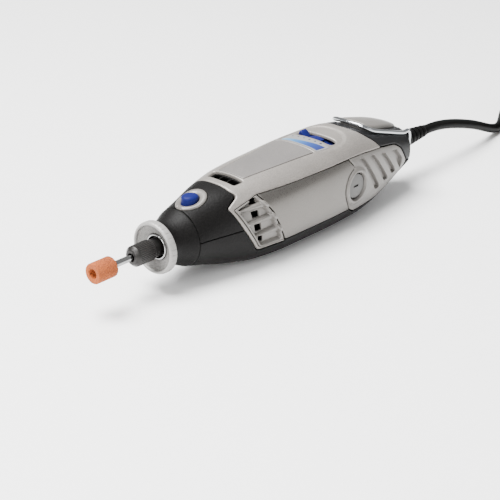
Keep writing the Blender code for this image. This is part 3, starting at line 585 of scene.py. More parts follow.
BRASS = add_stripes(finish("turned_brass", (0.66, 0.47, 0.17), 0.26, 1.0, spread=0.08, bump=0.05), 700.0,
    0.08, 0.0001)
CREASE = finish("top_panel_grey", (0.238, 0.224, 0.214), 0.42, metallic=0.3, grain=1700.0, spread=0.2,
    bump=0.2, bump_grain=1900.0, coat=0.08)
BAND = along_colours("scale_wedge", [(0.012, 0.02, 0.12), (0.015, 0.05, 0.20), (0.04, 0.14, 0.30),
    (0.14, 0.26, 0.36)], "Y", -0.0115, 0.0115, 0.34)
INK = finish("dial_marks", (0.03, 0.035, 0.06), 0.45, spread=0.15, bump=0.05)
PALE = finish("scale_ground", (0.32, 0.325, 0.33), 0.38, metallic=0.15, grain=3000.0, spread=0.06,
    bump=0.05)

# CAD nodes that stay: most are inside the housing.
KEPT = (
    (BRIGHT, "front_bearing rear_spindle_bearing motor_front_bearing motor_rear_bearing lock_spring"),
    (STEEL, "spindle_sleeve spindle armature_shaft lock_pin"), (RUBBER, "drive_coupling"),
    (BRASS, "collet brush_holder_right brush_holder_left"), (IRON, "armature_core stator_core"),
    (COPPER, "armature_winding field_coil_top field_coil_bottom"), (BARS, "commutator"),
    (DARK, "cooling_fan"), (CARBON, "carbon_brush_right carbon_brush_left"), (BOARD, "speed_board"))
for look, names in KEPT:
    for name in names.split():
        for slot_place in bpy.data.objects[name].material_slots:
            slot_place.material = look

# ---- camera, light and floor ----
camera_data = bpy.data.cameras.new("camera")
camera_data.lens = 108.0
camera_data.sensor_width = 36.0
camera_data.clip_start = 0.01
camera = linked("camera", camera_data)
camera.location = put(-428.8, -456.5, 290.5)
camera.rotation_euler = (math.radians(65.0), 0.0, math.radians(-47.3))
bpy.context.scene.camera = camera

world = bpy.data.worlds.new("studio")
world.use_nodes = True
world.node_tree.nodes["Background"].inputs["Color"].default_value = (1.0, 1.0, 1.0, 1)
world.node_tree.nodes["Background"].inputs["Strength"].default_value = 0.58
bpy.context.scene.world = world


LIGHT_AIM = Vector((0.0, 0.0, 0.02))


def lamp(name, at, size, power, tall=None):
    """Rectangular light at a place in metres, aimed at the tool; size in metres, power in watts."""
    data = bpy.data.lights.new(name, "AREA")
    data.shape = "RECTANGLE"
    data.size = size
    data.size_y = tall or size
    data.energy = power
    item = linked(name, data)
    item.location = at
    item.rotation_euler = (LIGHT_AIM - Vector(at)).to_track_quat("-Z", "Y").to_euler()


lamp("key", (-0.35, 0.30, 1.35), 0.9, 95.0)
lamp("left_strip", (-0.75, -0.15, 0.35), 0.20, 5.0, 0.5)
lamp("front_fill", (0.05, -0.9, 0.55), 0.6, 1.6)

FLOOR_HALF = 1.6
FLOOR_HEIGHT = -0.0002      # metres, a hair under the belly
floor_mesh = bpy.data.meshes.new("floor")
floor_mesh.from_pydata([(FLOOR_HALF * x, FLOOR_HALF * y, FLOOR_HEIGHT) for x,
    y in ((-1, -1), (1, -1), (1, 1), (-1, 1))], [], [(0, 1, 2, 3)])
floor_mesh.materials.append(finish("pale_floor", (0.96, 0.96, 0.957), 0.30, grain=300.0, spread=0.01,
    bump=0.0, rough_spread=0.02))
floor = linked("floor", floor_mesh)

# ---- cord, coil and plug ----
CORD_FLOOR = -AXIS_HEIGHT + CORD_R + 0.05
COIL_S, COIL_Y, COIL_MID_R = 330.0, -14.1, 29.6
PITCH = 2 * CORD_R + 0.04
ENTRY_Y = COIL_Y + COIL_MID_R + PITCH
PLUG_Y = COIL_Y - COIL_MID_R + 2 * CORD_R
PLUG_BACK = 326.0
PLUG_THICK = 13.4
COIL_HIGH = 16.7
PLUG_MID = -AXIS_HEIGHT + COIL_HIGH + GAP + PLUG_THICK / 2
route = curve_through([(BOOT_END + GAP, 0.0, BOOT_HEIGHT), (218.0, 0.0, 0.6), (230.0, 0.0, -1.4),
    (243.0, 0.0, -4.8), (256.0, 0.2, -9.0), (267.0, 0.8, -13.4), (276.0, 1.6, -17.0),
    (284.0, 2.6, CORD_FLOOR + 0.2), (289.0, 4.0, CORD_FLOOR), (293.6, 6.0, CORD_FLOOR),
    (303.0, 11.2, CORD_FLOOR), (312.0, 16.2, CORD_FLOOR), (321.0, 20.0, CORD_FLOOR),
    (COIL_S, ENTRY_Y, CORD_FLOOR)], 5.0)
# The nine passes of the coil as (place outwards from the middle, layer), and how far round each pass
# the cord starts to move over to the next.
PASSES = ((1, 0), (0, 0), (-1, 0), (-1, 1), (0, 1), (1, 1), (1, 2), (0, 2), (-1, 2))
MOVES_AT = (0.8, 0.8, 0.6, 0.4, 0.4, 0.2, 0.0, 0.0)
MOVE_TAKES = 0.2
LAST_PASS = 8
TURNS = 8.5
RISE_FROM = 8.05            # where the cord starts to climb to the plug
STEPS = 40                  # points for each turn
turns_path = []


def ease(x):
    """Smooth step from 0 to 1."""
    x = min(1.0, max(0.0, x))
    return x * x * (3 - 2 * x)


for k in range(1, int(TURNS * STEPS) + 1):
    turned_by = k / STEPS
    number = int(turned_by)
    ring, layer = PASSES[number]
    if number < LAST_PASS:
        following = PASSES[number + 1]
        t = ease((turned_by - number - MOVES_AT[number]) / MOVE_TAKES)
        ring += (following[0] - ring) * t
        layer += (following[1] - layer) * t
    height = CORD_FLOOR + layer * PITCH
    if turned_by > RISE_FROM:
        height += (PLUG_MID - height) * ease((turned_by - RISE_FROM) / 0.45)
    radius = COIL_MID_R + ring * PITCH
    angle = math.pi / 2 - math.tau * turned_by
    turns_path.append((COIL_S + radius * math.cos(angle), COIL_Y + radius * math.sin(angle), height))
lead = [(PLUG_BACK - 2.0, PLUG_Y, PLUG_MID)]
cord = wire("mains_cord", route + turns_path + lead, CORD_R, RUBBER, "housing", 3)
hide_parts("power_cord", "cord_coil")


def plug_ring(s, half_wide, half_thick):
    """Section of the plug body: a rounded bar across the tool's axis."""
    ring = []
    for k in range(40):
        a = math.tau * k / 40
        c, d = math.cos(a), math.sin(a)
        ring.append((s, PLUG_Y + half_wide * math.copysign(abs(c) ** 0.5, c),
            PLUG_MID + half_thick * math.copysign(abs(d) ** 0.6, d)))
    return ring


half_thick = PLUG_THICK / 2 - 0.1
plug_profile = [(PLUG_BACK - 0.2, 3.0, 3.0), (PLUG_BACK - 1.0, 3.4, 3.4), (PLUG_BACK - 17.0, 4.4, 4.4),
    (PLUG_BACK - 20.0, 5.6, 5.4), (PLUG_BACK - 24.0, 9.0, half_thick - 0.6),
    (PLUG_BACK - 29.0, 13.0, half_thick), (PLUG_BACK - 36.0, 16.0, half_thick),
    (PLUG_BACK - 44.0, 17.0, half_thick), (PLUG_BACK - 49.2, 17.2, half_thick),
    (PLUG_BACK - 49.9, 16.6, half_thick - 0.6)]
spine = curve_through(plug_profile, 1.5)
plug = hoops("plug", [plug_ring(s, w, min(t, half_thick)) for s, w, t in spine], RUBBER,
    "housing", closed=False)
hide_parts("plug_body")
tip, root = PLUG_BACK - 69.0, PLUG_BACK - 50.2
pin_profile = [(tip, 0), (tip, 0.8), (tip + 0.4, 1.5), (tip + 1.2, 2.0), (tip + 9.0, 2.0),
    (tip + 9.2, 1.85), (root, 1.85), (root, 0)]
for number, pin_y in ((1, PLUG_Y - 9.3), (2, PLUG_Y + 9.3)):
    pin = turn("contact_pin_%d" % number, pin_profile, BRASS, "brass", "housing", 32,
        (0.0, pin_y, PLUG_MID))
    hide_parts("plug_pin_%d" % number)

# Strain relief: a tapered boot with soft ribs.
BOOT_RIBS = 7
boot_profile = [(172.2, 0.0), (172.2, 5.9), (180.6, 5.9), (181.0, 5.7)]
for k in range(BOOT_RIBS):
    s = 181.6 + 3.6 * k
    r = 5.55 - 2.1 * k / (BOOT_RIBS - 1)
    boot_profile += [(s - 0.1, r - 1.1), (s, r - 0.15), (s + 0.3, r), (s + 2.2, r - 0.12),
        (s + 2.5, r - 0.3), (s + 2.6, r - 1.25)]
boot_profile += [(BOOT_END - 0.1, 2.9), (BOOT_END, 2.8), (BOOT_END, 0.0)]
boot = turn("strain_relief", boot_profile, RUBBER, "rubber", "housing", 56, (0, 0, BOOT_HEIGHT))
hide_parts("cord_boot")


# ---- housing panels ----
def on_map(points, hand, lower=False):
    """Map path and its corner radii, from (s, height, corner radius) points on one side. A height of
    None takes the point's y from a fourth value and puts it on the top. lower counts the +Y side on past
    a full turn, so that an outline can run round the belly."""
    flat, radii = [], []
    shift = FULL_TURN if lower and hand > 0 else 0.0
    for i, point in enumerate(points):
        if point[1] is None:
            s, v = over(point[0], point[3])
            if hand < 0:
                v = HALF_TURN - v
        else:
            s, v = side(point[0], point[1], hand)
        v += shift
        if flat and point[1] is not None and points[i - 1][1] is not None:
            back = points[i - 1]
            pieces = max(1, round(math.hypot(point[0] - back[0], point[1] - back[1]) / 7))
            for k in range(1, pieces):
                t = k / pieces
                a, b = side(back[0] + (point[0] - back[0]) * t, back[1] + (point[1] - back[1]) * t, hand)
                flat.append((a, b + shift))
                radii.append(0.0)
        flat.append((s, v))
        radii.append(point[2])
    return flat, radii


def panel_loop(points, hand):
    """Closed rounded loop for a panel on one side."""
    flat, radii = on_map(list(points) + [points[0]], hand)
    return dense(rounded(flat[:-1], radii[:-1]), 0.7)


def both_sides(points, lower=False):
    """Closed loop across the top, or round the belly if lower, from one side's path and its mirror."""
    left, left_radii = on_map(points, 1, lower)
    right, right_radii = on_map(points, -1, lower)
    return dense(rounded(left + right[::-1], left_radii + right_radii[::-1]), 0.8)


def bell(x, half):
    """Round hump: 1 in the middle, 0 at half and beyond."""
    return np.sqrt(np.clip(1 - (x / half) ** 2, 0, 1))


upper_outline = both_sides([(40.7, None, 0.0, 0.01), (40.7, None, 0.0, 5.0), (40.7, None, 1.5, 9.6),
    (42.3, 16.9, 1.6), (34.9, 12.8, 1.3), (39.8, 4.4, 3.0), (42.0, 0.8, 2.5), (50.2, -12.1, 1.8),
    (67.6, -12.3, 0.5), (67.5, -11.2, 0.4), (51.4, -11.1, 1.6), (37.5, 11.7, 1.3), (51.7, 15.9, 0.6),
    (80.0, 15.7, 0.0), (116.6, 15.6, 0.0), (128.0, 15.2, 0.0), (145.0, 13.2, 0.3), (145.0, 14.0, 0.6),
    (141.2, 17.7, 1.0), (137.7, 20.3, 1.5), (134.6, None, 1.5, 8.0), (133.8, None, 0.0, 0.01)])


def on_top(y):
    """Map v of a point on the top, y measured round the skin."""
    return QUARTER - y * MAP_R / TOP_R


def top_loop(points, radius=1.0, step=0.7):
    """Closed loop on the top from (s, y) points."""
    return dense(rounded([(s, on_top(y)) for s, y in points], radius), step)


top_panel_loop = top_loop([(52.6, 8.2), (76.5, 10.0), (98.6, 11.9), (98.6, -11.9), (76.5, -10.0),
    (52.6, -8.2)], 0.8)
vent_loop = top_loop([(45.2, 9.6), (50.8, 10.1), (51.2, 4.6), (51.4, 0.0), (51.2, -4.6), (50.8, -10.1),
    (45.2, -9.6), (44.8, -4.0), (44.7, 0.0), (44.8, 4.0)], 1.2)
slot_loop = top_loop([(111.9, 11.6), (118.1, 11.6), (118.1, -11.6), (111.9, -11.6)], 3.0, 0.5)
dish_loop = top_loop([(99.7, -12.4), (99.7, 12.4), (107.5, 13.6), (114.5, 14.4), (121.5, 13.0),
    (126.6, 8.0), (128.4, 0.0), (126.6, -8.0), (121.5, -13.0), (114.5, -14.4), (107.5, -13.6)], 3.2)
shell_top = patch("shell_upper", upper_outline, GREY, holes=[grown(top_panel_loop, 0.12),
    vent_loop, slot_loop], steps=[(dish_loop, 0.9, 2.0)], edge=0.75, spacing=1.7,
    fine=[(grown(dish_loop, 2.0), 0.9)])
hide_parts("upper_shell")
top_panel = patch("shell_top_panel", top_panel_loop, CREASE, edge=0.25, spacing=2.0,
    lift=-0.12)
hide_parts("upper_shell")
louvres = [top_loop([(45.9, y - 2.5), (50.1, y - 2.5), (50.1, y + 2.5), (45.9, y + 2.5)], 0.5, 0.5) for y
    in (-5.8, 0.0, 5.8)]
vent = patch("vent_top", grown(vent_loop, -0.25), BLACK, holes=louvres, lift=-1.3,
    thick=1.2, edge=0.3, spacing=1.0)
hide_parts("top_vent")

# Black front: the upper part with the button opening, and the lower shell that runs to the tail.
front_outline = both_sides([(16.9, None, 0.0, 0.01), (16.9, 10.0, 0.0), (16.9, 1.15, 0.4),
    (41.4, 1.15, 0.6), (39.3, 4.4, 3.0), (34.3, 12.9, 1.3), (41.5, 17.1, 1.6), (40.35, None, 1.5, 9.6),
    (40.35, None, 0.0, 5.0), (40.35, None, 0.0, 0.01)])


def oval(s, half_s, half_v, count):
    """Loop on the top round a place on its middle line."""
    return [(s + half_s * math.cos(math.tau * k / count), QUARTER + half_v *
        math.sin(math.tau * k / count)) for k in range(count)]


plate_loop = [p for p in oval(BUTTON_S + 0.4, 8.1, 8.9, 72) if p[0] > 17.1]
front_top = patch("shell_front_upper", front_outline, BLACK,
    holes=[grown(plate_loop, 0.2)], edge=0.35, spacing=1.5, thick=2.0)
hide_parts("front_upper_shell")
lower_outline = both_sides([(16.9, 0.85, 0.4), (41.6, 0.85, 0.8), (49.9, -12.5, 1.8), (67.8, -12.7, 0.5),
    (68.3, -11.6, 0.5), (116.4, -11.7, 0.8), (121.2, -14.7, 1.0), (140.7, -14.2, 1.0),
    (154.6, -12.0, 1.0), (166.9, -8.4, 1.0), (172.3, -2.75, 0.5), (175.8, -2.75, 0.3)], lower=True)
screw_places = [(46.0, 10.2), (46.0, -10.2), (130.5, 13.0), (130.5, -13.0)]


def under(s, y):
    """Map place of a point on the belly at y."""
    w, h, centre, n = section(s)
    drop = h * (1 - min(1.0, abs(y / w)) ** n) ** (1 / n)
    turned_by = math.atan2(-drop, y)
    return (s, MAP_R * (turned_by + math.tau))


screw_holes = [circle(*under(s, y), 2.75, 28, 1.0) for s, y in screw_places]
lower = patch("shell_lower", lower_outline, BLACK, holes=screw_holes, edge=0.4,
    spacing=2.0, thick=2.0)
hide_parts("lower_shell")

# Side pieces, the same on both sides.
GRILLE = [(51.55, 15.6, 0.5), (37.9, 11.6, 0.9), (51.5, -10.9, 1.4), (66.9, -10.95, 0.8),
    (59.4, 5.0, 7.0)]
GRILLE_WELL = [(50.6, 14.5, 0.8), (39.8, 11.2, 0.8), (52.0, -9.7, 1.0), (64.6, -9.6, 0.8),
    (57.6, 4.6, 6.0)]
PLATE = [(52.3, 15.6, 0.5), (84.0, 15.5, 0.0), (116.0, 15.2, 0.6), (119.9, 10.6, 1.2), (114.6, 7.6, 2.0),
    (111.9, 2.6, 2.5), (111.9, -3.4, 2.5), (116.2, -11.25, 0.8), (92.0, -11.25, 0.0), (67.6, -11.2, 0.8),
    (60.0, 5.0, 7.5)]
REAR = [(116.9, 15.4, 0.6), (128.0, 14.95, 0.0), (145.2, 13.0, 1.0), (159.6, 10.4, 1.5),
    (165.0, 7.2, 1.5), (171.6, -2.1, 1.6), (166.4, -7.9, 1.5), (154.3, -11.5, 1.0), (140.6, -13.7, 1.0),
    (121.6, -14.2, 1.5), (117.0, -11.5, 1.0), (112.5, -3.6, 2.5), (112.5, 2.8, 2.5), (115.2, 7.3, 2.0),
    (120.6, 10.4, 1.2)]
BAYS = [[(124.6, 13.1, 1.0), (128.4, 13.1, 1.0), (143.6, -7.4, 1.4), (139.4, -7.4, 1.2),
    (132.4, 3.4, 0.6), (129.8, 7.6, 0.6)], [(133.6, 12.0, 1.2), (137.9, 11.8, 1.2), (152.0, -5.6, 1.3),
    (148.2, -5.6, 1.3)], [(144.0, 10.2, 1.2), (148.4, 9.6, 1.2), (160.0, -4.2, 1.3), (156.2, -4.2, 1.3)],
    [(154.9, 8.0, 1.2), (160.4, 7.6, 1.4), (166.6, 0.6, 1.4), (165.4, -4.4, 1.2)], ]
VENT_HOLES = [(46.4, 50.6, 15.0, 12.2), (47.0, 51.4, 8.6, 4.9), (48.6, 52.6, 1.3, -2.4),
    (50.9, 53.6, -5.6, -8.9)]
RIBS = [(10.4, 38.9, 54.6), (3.1, 43.4, 59.2), (-4.1, 47.6, 62.6)]
CAP_NARROW, CAP_LONG = 0.96, 1.04       # keep a circle on the map round on the bulging side


def grille_relief(s, v):
    """Three ribs that start as a point at the front edge and thicken to the rear."""
    z = skin(s, v)[..., 2]
    rise = np.zeros_like(s)
    for middle, start, end in RIBS:
        t = np.clip((s - start) / (end - start), 0, 1.1)
        line = middle + 0.7 * t
        half = 0.35 + 1.75 * t
        rise = np.maximum(rise, 1.85 * bell(z - line, half) * np.clip(t * 12, 0, 1))
    return rise * (s < 64)


for hand, label in ((-1, "right"), (1, "left")):
    well = panel_loop(GRILLE_WELL, hand)
    holes = [panel_loop([(a, top, 0.4), (b, top - 0.1, 0.4), (b + 0.4, low, 0.4), (a + 0.8, low, 0.4)],
        hand) for a, b, top, low in VENT_HOLES]
    grille = patch("side_grille_" + label, panel_loop(GRILLE, hand), GREY_TOP,
        holes=holes, steps=[(well, 1.9, 0.9)], bump=grille_relief, edge=0.35, spacing=0.8,
        fine=[(well, 0.45)], thick=1.6)
    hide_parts("vent_grille_" + label)
    plate = patch("badge_plate_" + label, panel_loop(PLATE, hand), SILVER, edge=0.35,
        spacing=2.0, lift=0.05)
    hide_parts("side_plate_" + label)
    cap_v = side(CAP_S, 0.0, hand)[1]
    bays = [(panel_loop(bay, hand), 1.75, 0.7) for bay in BAYS]
    opening, mound, seat = (circle(CAP_S, cap_v, radius * CAP_NARROW, 64, CAP_LONG) for radius in
        (6.75, 9.0, 7.1))
    rear = patch("rear_panel_visual_" + label, panel_loop(REAR, hand), GREY_TOP,
        holes=[opening], steps=bays + [(mound, -0.9, 2.2), (seat, 0.7, 0.7)], edge=0.7, spacing=1.1,
        thick=1.9)
    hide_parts("rear_panel_" + label)
    face = abs(float(skin(CAP_S, cap_v)[1])) - 0.55
    profile = [(hand * 18.9, 0.0), (hand * 18.9, 6.35), (hand * (face - 0.5), 6.35),
        (hand * (face - 0.1), 6.15), (hand * face, 5.7), (hand * face, 0.0)]
    cap = turn("cap_" + label, profile, CAP_DARK, "dark_plastic", "cap_" + label, 64, (CAP_S, 0, 0), "y")
    corners = [put(CAP_S + s, hand * y, z) for s in (-1.9, 1.9) for y in (face - 0.9, face + 2) for z in
        (-0.55, 0.55)]
    cutter = linked("slot_cutter", closed_mesh("slot_cutter", corners, [(0, 1, 3, 2), (4, 6, 7, 5),
        (0, 4, 5, 1), (2, 3, 7, 6), (0, 2, 6, 4), (1, 5, 7, 3)]))
    step = cap.modifiers.new("slot", "BOOLEAN")
    step.operation, step.solver, step.object = "DIFFERENCE", "EXACT", cutter
    bpy.context.view_layer.update()
    cut = bpy.data.meshes.new_from_object(cap.evaluated_get(bpy.context.evaluated_depsgraph_get()))
    cap.modifiers.clear()
    cap.data = cut
    cut.set_sharp_from_angle(angle=math.radians(35))
    bpy.data.objects.remove(cutter, do_unlink=True)
    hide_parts("brush_cap_" + label)

# Tail band, its end wall with the neck, and the grey hump on top.
tail_outline = both_sides([(134.2, None, 0.0, 0.01), (135.0, None, 1.5, 8.0), (138.1, 20.1, 1.5),
    (141.6, 17.4, 1.2), (145.5, 13.6, 1.5), (160.0, 10.8, 1.5), (165.4, 7.6, 1.5), (172.0, -2.1, 0.8),
    (175.8, -2.3, 0.3), (175.8, 8.0, 0.0), (175.8, None, 0.0, 5.0), (175.8, None, 0.0, 0.01)])
hump_loop = top_loop([(143.2, 7.8), (143.2, -7.8), (146.4, -11.0), (152.0, -11.7), (160.0, -11.6),
    (168.0, -10.8), (175.0, -8.6), (175.0, 8.6), (168.0, 10.8), (160.0, 11.6), (152.0, 11.7),
    (146.4, 11.0)], 2.0)
tail = patch("shell_tail", tail_outline, DARK, steps=[(grown(hump_loop, 2.6), 0.5, 1.0)],
    edge=0.5, spacing=1.4, thick=1.8)
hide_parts("tail_band")


def hump_rise(s, v):
    """The hump is crowned across and falls away to the tail."""
    across = (v - QUARTER) / 10.0
    fall = np.clip((s - 157) / 18, 0, 1)
    return 0.6 * np.clip(1 - across ** 2, 0, 1) - 1.5 * fall * fall


hump = patch("tail_cover", hump_loop, GREY_TOP, lift=1.7, thick=2.2, edge=1.6,
    spacing=1.0, bump=hump_rise)
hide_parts("tail_hump")


HOOP_POINTS = 96


def skin_hoop(s, inset):
    """Ring of points round the housing, set in from its skin."""
    points = []
    for k in range(HOOP_POINTS):
        v = math.tau * k / HOOP_POINTS * MAP_R
        at, normal = skin(s, v), skin_normal(s, v)
        points.append(tuple(at - normal * inset))
    return points


def round_hoop(s, radius):
    """Round ring of points about the boot's axis."""
    angles = [math.tau * k / HOOP_POINTS for k in range(HOOP_POINTS)]
    return [(s, radius * math.cos(a), BOOT_HEIGHT + radius * math.sin(a)) for a in angles]


end_wall = hoops("tail_end_wall", [skin_hoop(174.6, 0.5), skin_hoop(175.4, 0.35), skin_hoop(176.0, 0.55),
    skin_hoop(176.5, 1.1), skin_hoop(176.7, 1.9), round_hoop(177.0, 8.7), round_hoop(177.4, 8.0),
    round_hoop(178.0, 7.7), round_hoop(180.2, 7.6), round_hoop(180.7, 7.2), round_hoop(180.8, 6.6),
    round_hoop(175.4, 6.5), skin_hoop(174.6, 2.4)], DARK, "housing", closed=True)
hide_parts("tail_band")

# ---- nose: ring, wrench insert and cap ----
def notches(a, r, angle):
    """Short fine marks cut across the ring's side wall."""
    if 0.15 < a < 3.1 and r > 12.0:
        nearest = abs((angle / math.tau * 30 + 0.5) % 1 - 0.5)
        if nearest < 0.045:
            return a, r - 0.22
    return a, r


wall = [(3.6, 11.0), (3.6, 12.3), (3.3, 12.66), (3.0, 12.76), (2.0, 12.8), (0.6, 12.76), (0.2, 12.66),
    (-0.25, 12.38), (-0.5, 12.05), (-0.6, 11.75), (-0.52, 11.45), (-0.25, 11.2), (0.3, 11.0), (1.4, 10.9)]
ring = turn("nose_ring_rim", wall, RIM, "grey_plastic", "nose", 240, warp=notches)
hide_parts("nose_ring")


def pitted(a, r, angle):
    """Sand-cast unevenness in the dish."""
    if 6.4 < r < 10.9 and a < 3.2:
        spot = Vector((a * 0.9, r * math.cos(angle) * 0.9, r * math.sin(angle) * 0.9))
        return a + 0.16 * noise.noise(spot * 1.6), r
    return a, r


dish = [(0.7, 10.95)] + [(0.6 + 2.0 * (k / 14) ** 0.8, 10.8 - 4.1 * k / 14) for k in range(15)]
dish += [(2.75, 6.5), (3.4, 6.5), (3.4, 10.95)]
recess = turn("nose_ring_dish", dish, CAST, "grey_plastic", "nose", 144, warp=pitted)
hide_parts("nose_ring")
insert = turn("wrench_ring", [(2.2, 5.35), (1.95, 5.5), (1.85, 5.75), (1.95, 6.1), (2.2, 6.3), (7.0, 6.3),
    (7.0, 5.35)], BRIGHT, "steel", "nose", 72)
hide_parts("wrench_insert")
neck = [(3.9, 10.6), (3.9, 11.3), (4.2, 11.25), (4.6, 11.05), (5.2, 10.85), (6.2, 10.74), (7.4, 10.8),
    (8.8, 11.08), (10.2, 11.5), (11.6, 12.02), (13.0, 12.66), (14.4, 13.3), (15.5, 13.86), (16.2, 14.14),
    (16.5, 14.16), (16.62, 14.0), (16.62, 12.3), (14.6, 9.8), (7.4, 9.8), (7.4, 6.6), (4.2, 6.6),
    (4.2, 9.7)]
cap_piece = turn("nose_cap_skin", neck, BLACK, "black_plastic", "nose", 120)
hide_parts("nose_cap")

# ---- collet nut, shank and grinding stone ----
FLUTES = 36


def knurl(a, r, angle):
    """Straight fluting round the nut's barrel."""
    if r > 5.06 and -11.5 < a < -2.3:
        return a, r - 0.2 * (0.5 - 0.5 * math.cos(angle * FLUTES))
    return a, r


nut_profile = [(-13.6, 2.15), (-13.6, 3.3), (-13.5, 3.55), (-13.3, 3.75), (-12.2, 4.85), (-11.95, 5.0),
    (-11.6, 5.05)]
nut_profile += [(-11.4 + 0.5 * k, 5.08) for k in range(19)]
nut_profile += [(-2.3, 5.0), (-2.0, 4.6), (-1.6, 4.45), (2.9, 4.45), (3.0, 4.4), (3.0, 3.85),
    (-4.8, 3.85), (-5.6, 3.4), (-7.9, 3.4), (-7.9, 2.15)]
nut = turn("nut_barrel", nut_profile, NUT_BLACK_AND_SCREW_SHADE, "black_steel", "nut", 288, warp=knurl)
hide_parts("collet_nut")
shank = turn("bit_rod", [(-31.4, 0.0), (-31.4, 1.58), (8.0, 1.58), (8.3, 1.3), (8.3, 0.0)], BRIGHT,
    "steel", "bit", 48)
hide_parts("bit_shank")


def gritty(a, r, angle):
    """Grain of the abrasive: every point moves in and out a little."""
    spot = Vector((a, r * math.cos(angle), r * math.sin(angle)))
    lump = 0.10 * noise.noise(spot * 1.9) + 0.07 * noise.noise(spot * 4.3 + Vector((7, 3, 1)))
    return a + 0.6 * lump, r + lump


front = STONE_FRONT + 0.15
stone_profile = [(front + 4.2, 0.35), (front + 4.2, 1.2), (front + 4.1, 2.0), (front + 3.0, 2.25),
    (front + 1.5, 2.3), (front + 0.5, 2.35), (front + 0.1, 2.55)]
stone_profile += [(front, 2.7 + 0.35 * k) for k in range(6)]
stone_profile += [(front + 0.12, 4.68), (front + 0.4, 4.88)]
stone_profile += [(front + 0.8 + 0.45 * k, 4.93) for k in range(23)]
stone_profile += [(-25.95, 4.8), (-25.6, 4.5), (-25.5, 4.1), (-25.5, 3.4), (-25.5, 2.6), (-25.5, 1.95),
    (-25.6, 1.75), (-28.0, 1.72), (-31.8, 1.72), (-31.8, 0.35)]
stone = turn("stone_barrel", stone_profile, STONE, "stone", "bit", 110, warp=gritty, sharp=60.0)
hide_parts("grinding_stone")

# ---- lock button ----
bezel = patch("button_bezel", plate_loop, GREY_TOP, holes=[oval(BUTTON_S, 4.75, 5.3, 60)],
    lift=0.75, thick=2.3, edge=0.9, spacing=0.9, steps=[(oval(BUTTON_S, 5.9, 6.6, 60), 0.45, 1.4)])
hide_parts("button_plate")


def oval_warp(a, r, angle):
    """Stretches the round button a little along the tool."""
    return a, r * (1 + 0.06 * math.cos(2 * angle))


dome = [(13.6, 0.0), (13.6, 4.1), (17.6, 4.15)]
dome += [(17.7 + 1.6 * math.sin(math.pi / 2 * k / 12), 4.15 * math.cos(math.pi / 2 * k / 12) ** 0.55) for
    k in range(1, 12)]
dome += [(19.3, 0.0)]
button = turn("button_cap", dome, BLUE, "blue_plastic", "lock", 64, (BUTTON_S, 0, 0), "z", warp=oval_warp)
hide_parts("lock_button")

# ---- speed slider and its scale ----
SLIDER_REST = 70.0          # degrees round the axis from +Y


def arc_solid(name, sections, look, body):
    """Solid through cross-sections given as (angle in degrees, [(s, radius), ...])."""
    rings = []
    for degrees, shape in sections:
        a = math.radians(degrees)
        rings.append([(s, r * math.cos(a), r * math.sin(a)) for s, r in shape])
    return hoops(name, rings, look, body, closed=False)


def band_shape(low_s, high_s, low_r, high_r, corner):
    """Oblong cross-section with its corners cut off."""
    return [(low_s + corner, low_r), (high_s - corner, low_r), (high_s, low_r + corner),
        (high_s, high_r - corner), (high_s - corner, high_r), (low_s + corner, high_r),
        (low_s, high_r - corner), (low_s, low_r + corner)]


drum = arc_solid("slider_drum", [(SLIDER_REST - 48 + 96 * k / 48, band_shape(109.0, 121.0, 18.8, 20.4,
    0.3)) for k in range(49)], BLUE, "slider")
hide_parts("speed_slider")
rise = [(-6.2, 20.9), (-5.6, 21.8), (-4.4, 23.4), (-3.2, 24.9), (-1.8, 25.7), (0.0, 25.9), (1.6, 25.5),
    (3.0, 24.5), (4.6, 23.2), (6.4, 22.3)]
tab = arc_solid("slider_tab", [(SLIDER_REST + angle, band_shape(112.7, 117.3, 20.3, r, 0.45)) for angle,
    r in rise], BLUE, "slider")
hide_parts("speed_slider")
sweep = [(SLIDER_REST + 8 + 22 * k / 14, band_shape(112.7, 117.3, 20.3, 22.1 + 0.35 *
    math.sin(math.pi * k / 14), 0.4)) for k in range(15)]
blade = arc_solid("slider_blade", sweep, BLUE, "slider")
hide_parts("speed_slider")

baffle = arc_solid("fan_baffle", [(-4 + 188 * k / 48, band_shape(47.2, 60.4, 15.3, 16.2, 0.2)) for k in
    range(49)], INSIDE, "housing")
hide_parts("top_vent")

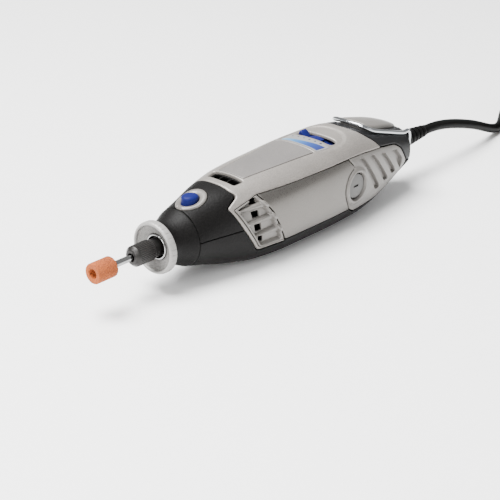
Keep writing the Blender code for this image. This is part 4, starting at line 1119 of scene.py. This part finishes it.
ground_loop = top_loop([(101.3, 11.9), (110.0, 12.7), (110.0, -12.7), (101.3, -11.9)], 1.2, 0.6)
ground = patch("scale_ground_strip", ground_loop, PALE, lift=-0.76, thick=0.25, edge=0.06,
    spacing=1.2)
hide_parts("speed_scale")
wedge_loop = top_loop([(101.9, 11.3), (103.4, 11.6), (104.7, 4.0), (106.2, -4.0), (107.8, -11.7),
    (101.9, -11.0)], 0.3, 0.5)
wedge = patch("scale_wedge_band", wedge_loop, BAND, lift=-0.66, thick=0.14, edge=0.05,
    spacing=1.0)
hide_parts("speed_scale")
for k in range(6):
    spot = circle(108.5 + 0.10 * k, on_top(9.6 - 3.5 * k), 0.32 + 0.06 * k, 20)
    dot = patch("scale_dot_%d" % (k + 1), spot, INK, lift=-0.68, thick=0.12, edge=0.04,
        spacing=0.3)
    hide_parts("speed_scale")

# ---- hanger bail, screws ----
def skin_height(s, y):
    """Height of the housing's top at y."""
    w, h, centre, n = section(s)
    return float(centre + h * max(0.0, 1 - abs(y / w) ** n) ** (1 / n))


bail_half = [(BAIL_PIVOT_S, -6.4, BAIL_PIVOT_HEIGHT), (BAIL_PIVOT_S, -9.0, BAIL_PIVOT_HEIGHT),
    (BAIL_PIVOT_S, -10.6, BAIL_PIVOT_HEIGHT + 2.0), (BAIL_PIVOT_S, -11.0, 6.0), (178.0, -11.4, 9.8),
    (176.2, -11.8, 12.5)]
for s, y in ((172.0, -12.3), (166.0, -12.9), (158.0, -13.2), (150.0, -13.2), (145.0, -12.6),
        (142.2, -10.4), (140.8, -7.2), (140.0, -3.5), (139.8, 0.0)):
    bail_half.append((s, y, skin_height(s, y) + BAIL_WIRE_R + 0.5))
bail_points = curve_through(bail_half + [(s, -y, z) for s, y, z in bail_half[-2::-1]], 1.0)
bail = wire("bail_wire", bail_points, BAIL_WIRE_R, CHROME, "bail", 8)
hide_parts("hanger_bail")


def star(a, r, angle):
    """Six-lobed socket in a screw head."""
    if a < -0.6 and r < 1.9:
        return a, r * (1 + 0.14 * math.cos(6 * angle))
    return a, r


screw_profile = [(10.2, 0.0), (10.2, 1.1), (9.6, 1.4), (0.0, 1.4), (0.0, 2.35), (-0.7, 2.35),
    (-0.95, 2.1), (-0.95, 1.5), (-0.5, 1.35), (-0.3, 1.2), (-0.3, 0.0)]
# The screws are steel in the CAD; the black steel they take here is painted shade, so that they show no
# glint.
for number, (s, y) in enumerate(screw_places, 1):
    seat = float(skin(*under(s, y))[2]) + 2.2 - GAP
    screw = turn("screw_%d" % number, screw_profile, NUT_BLACK_AND_SCREW_SHADE, "steel", "housing", 48, (s, y, seat),
        "z", warp=star)
    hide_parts("housing_screw_%d" % number)
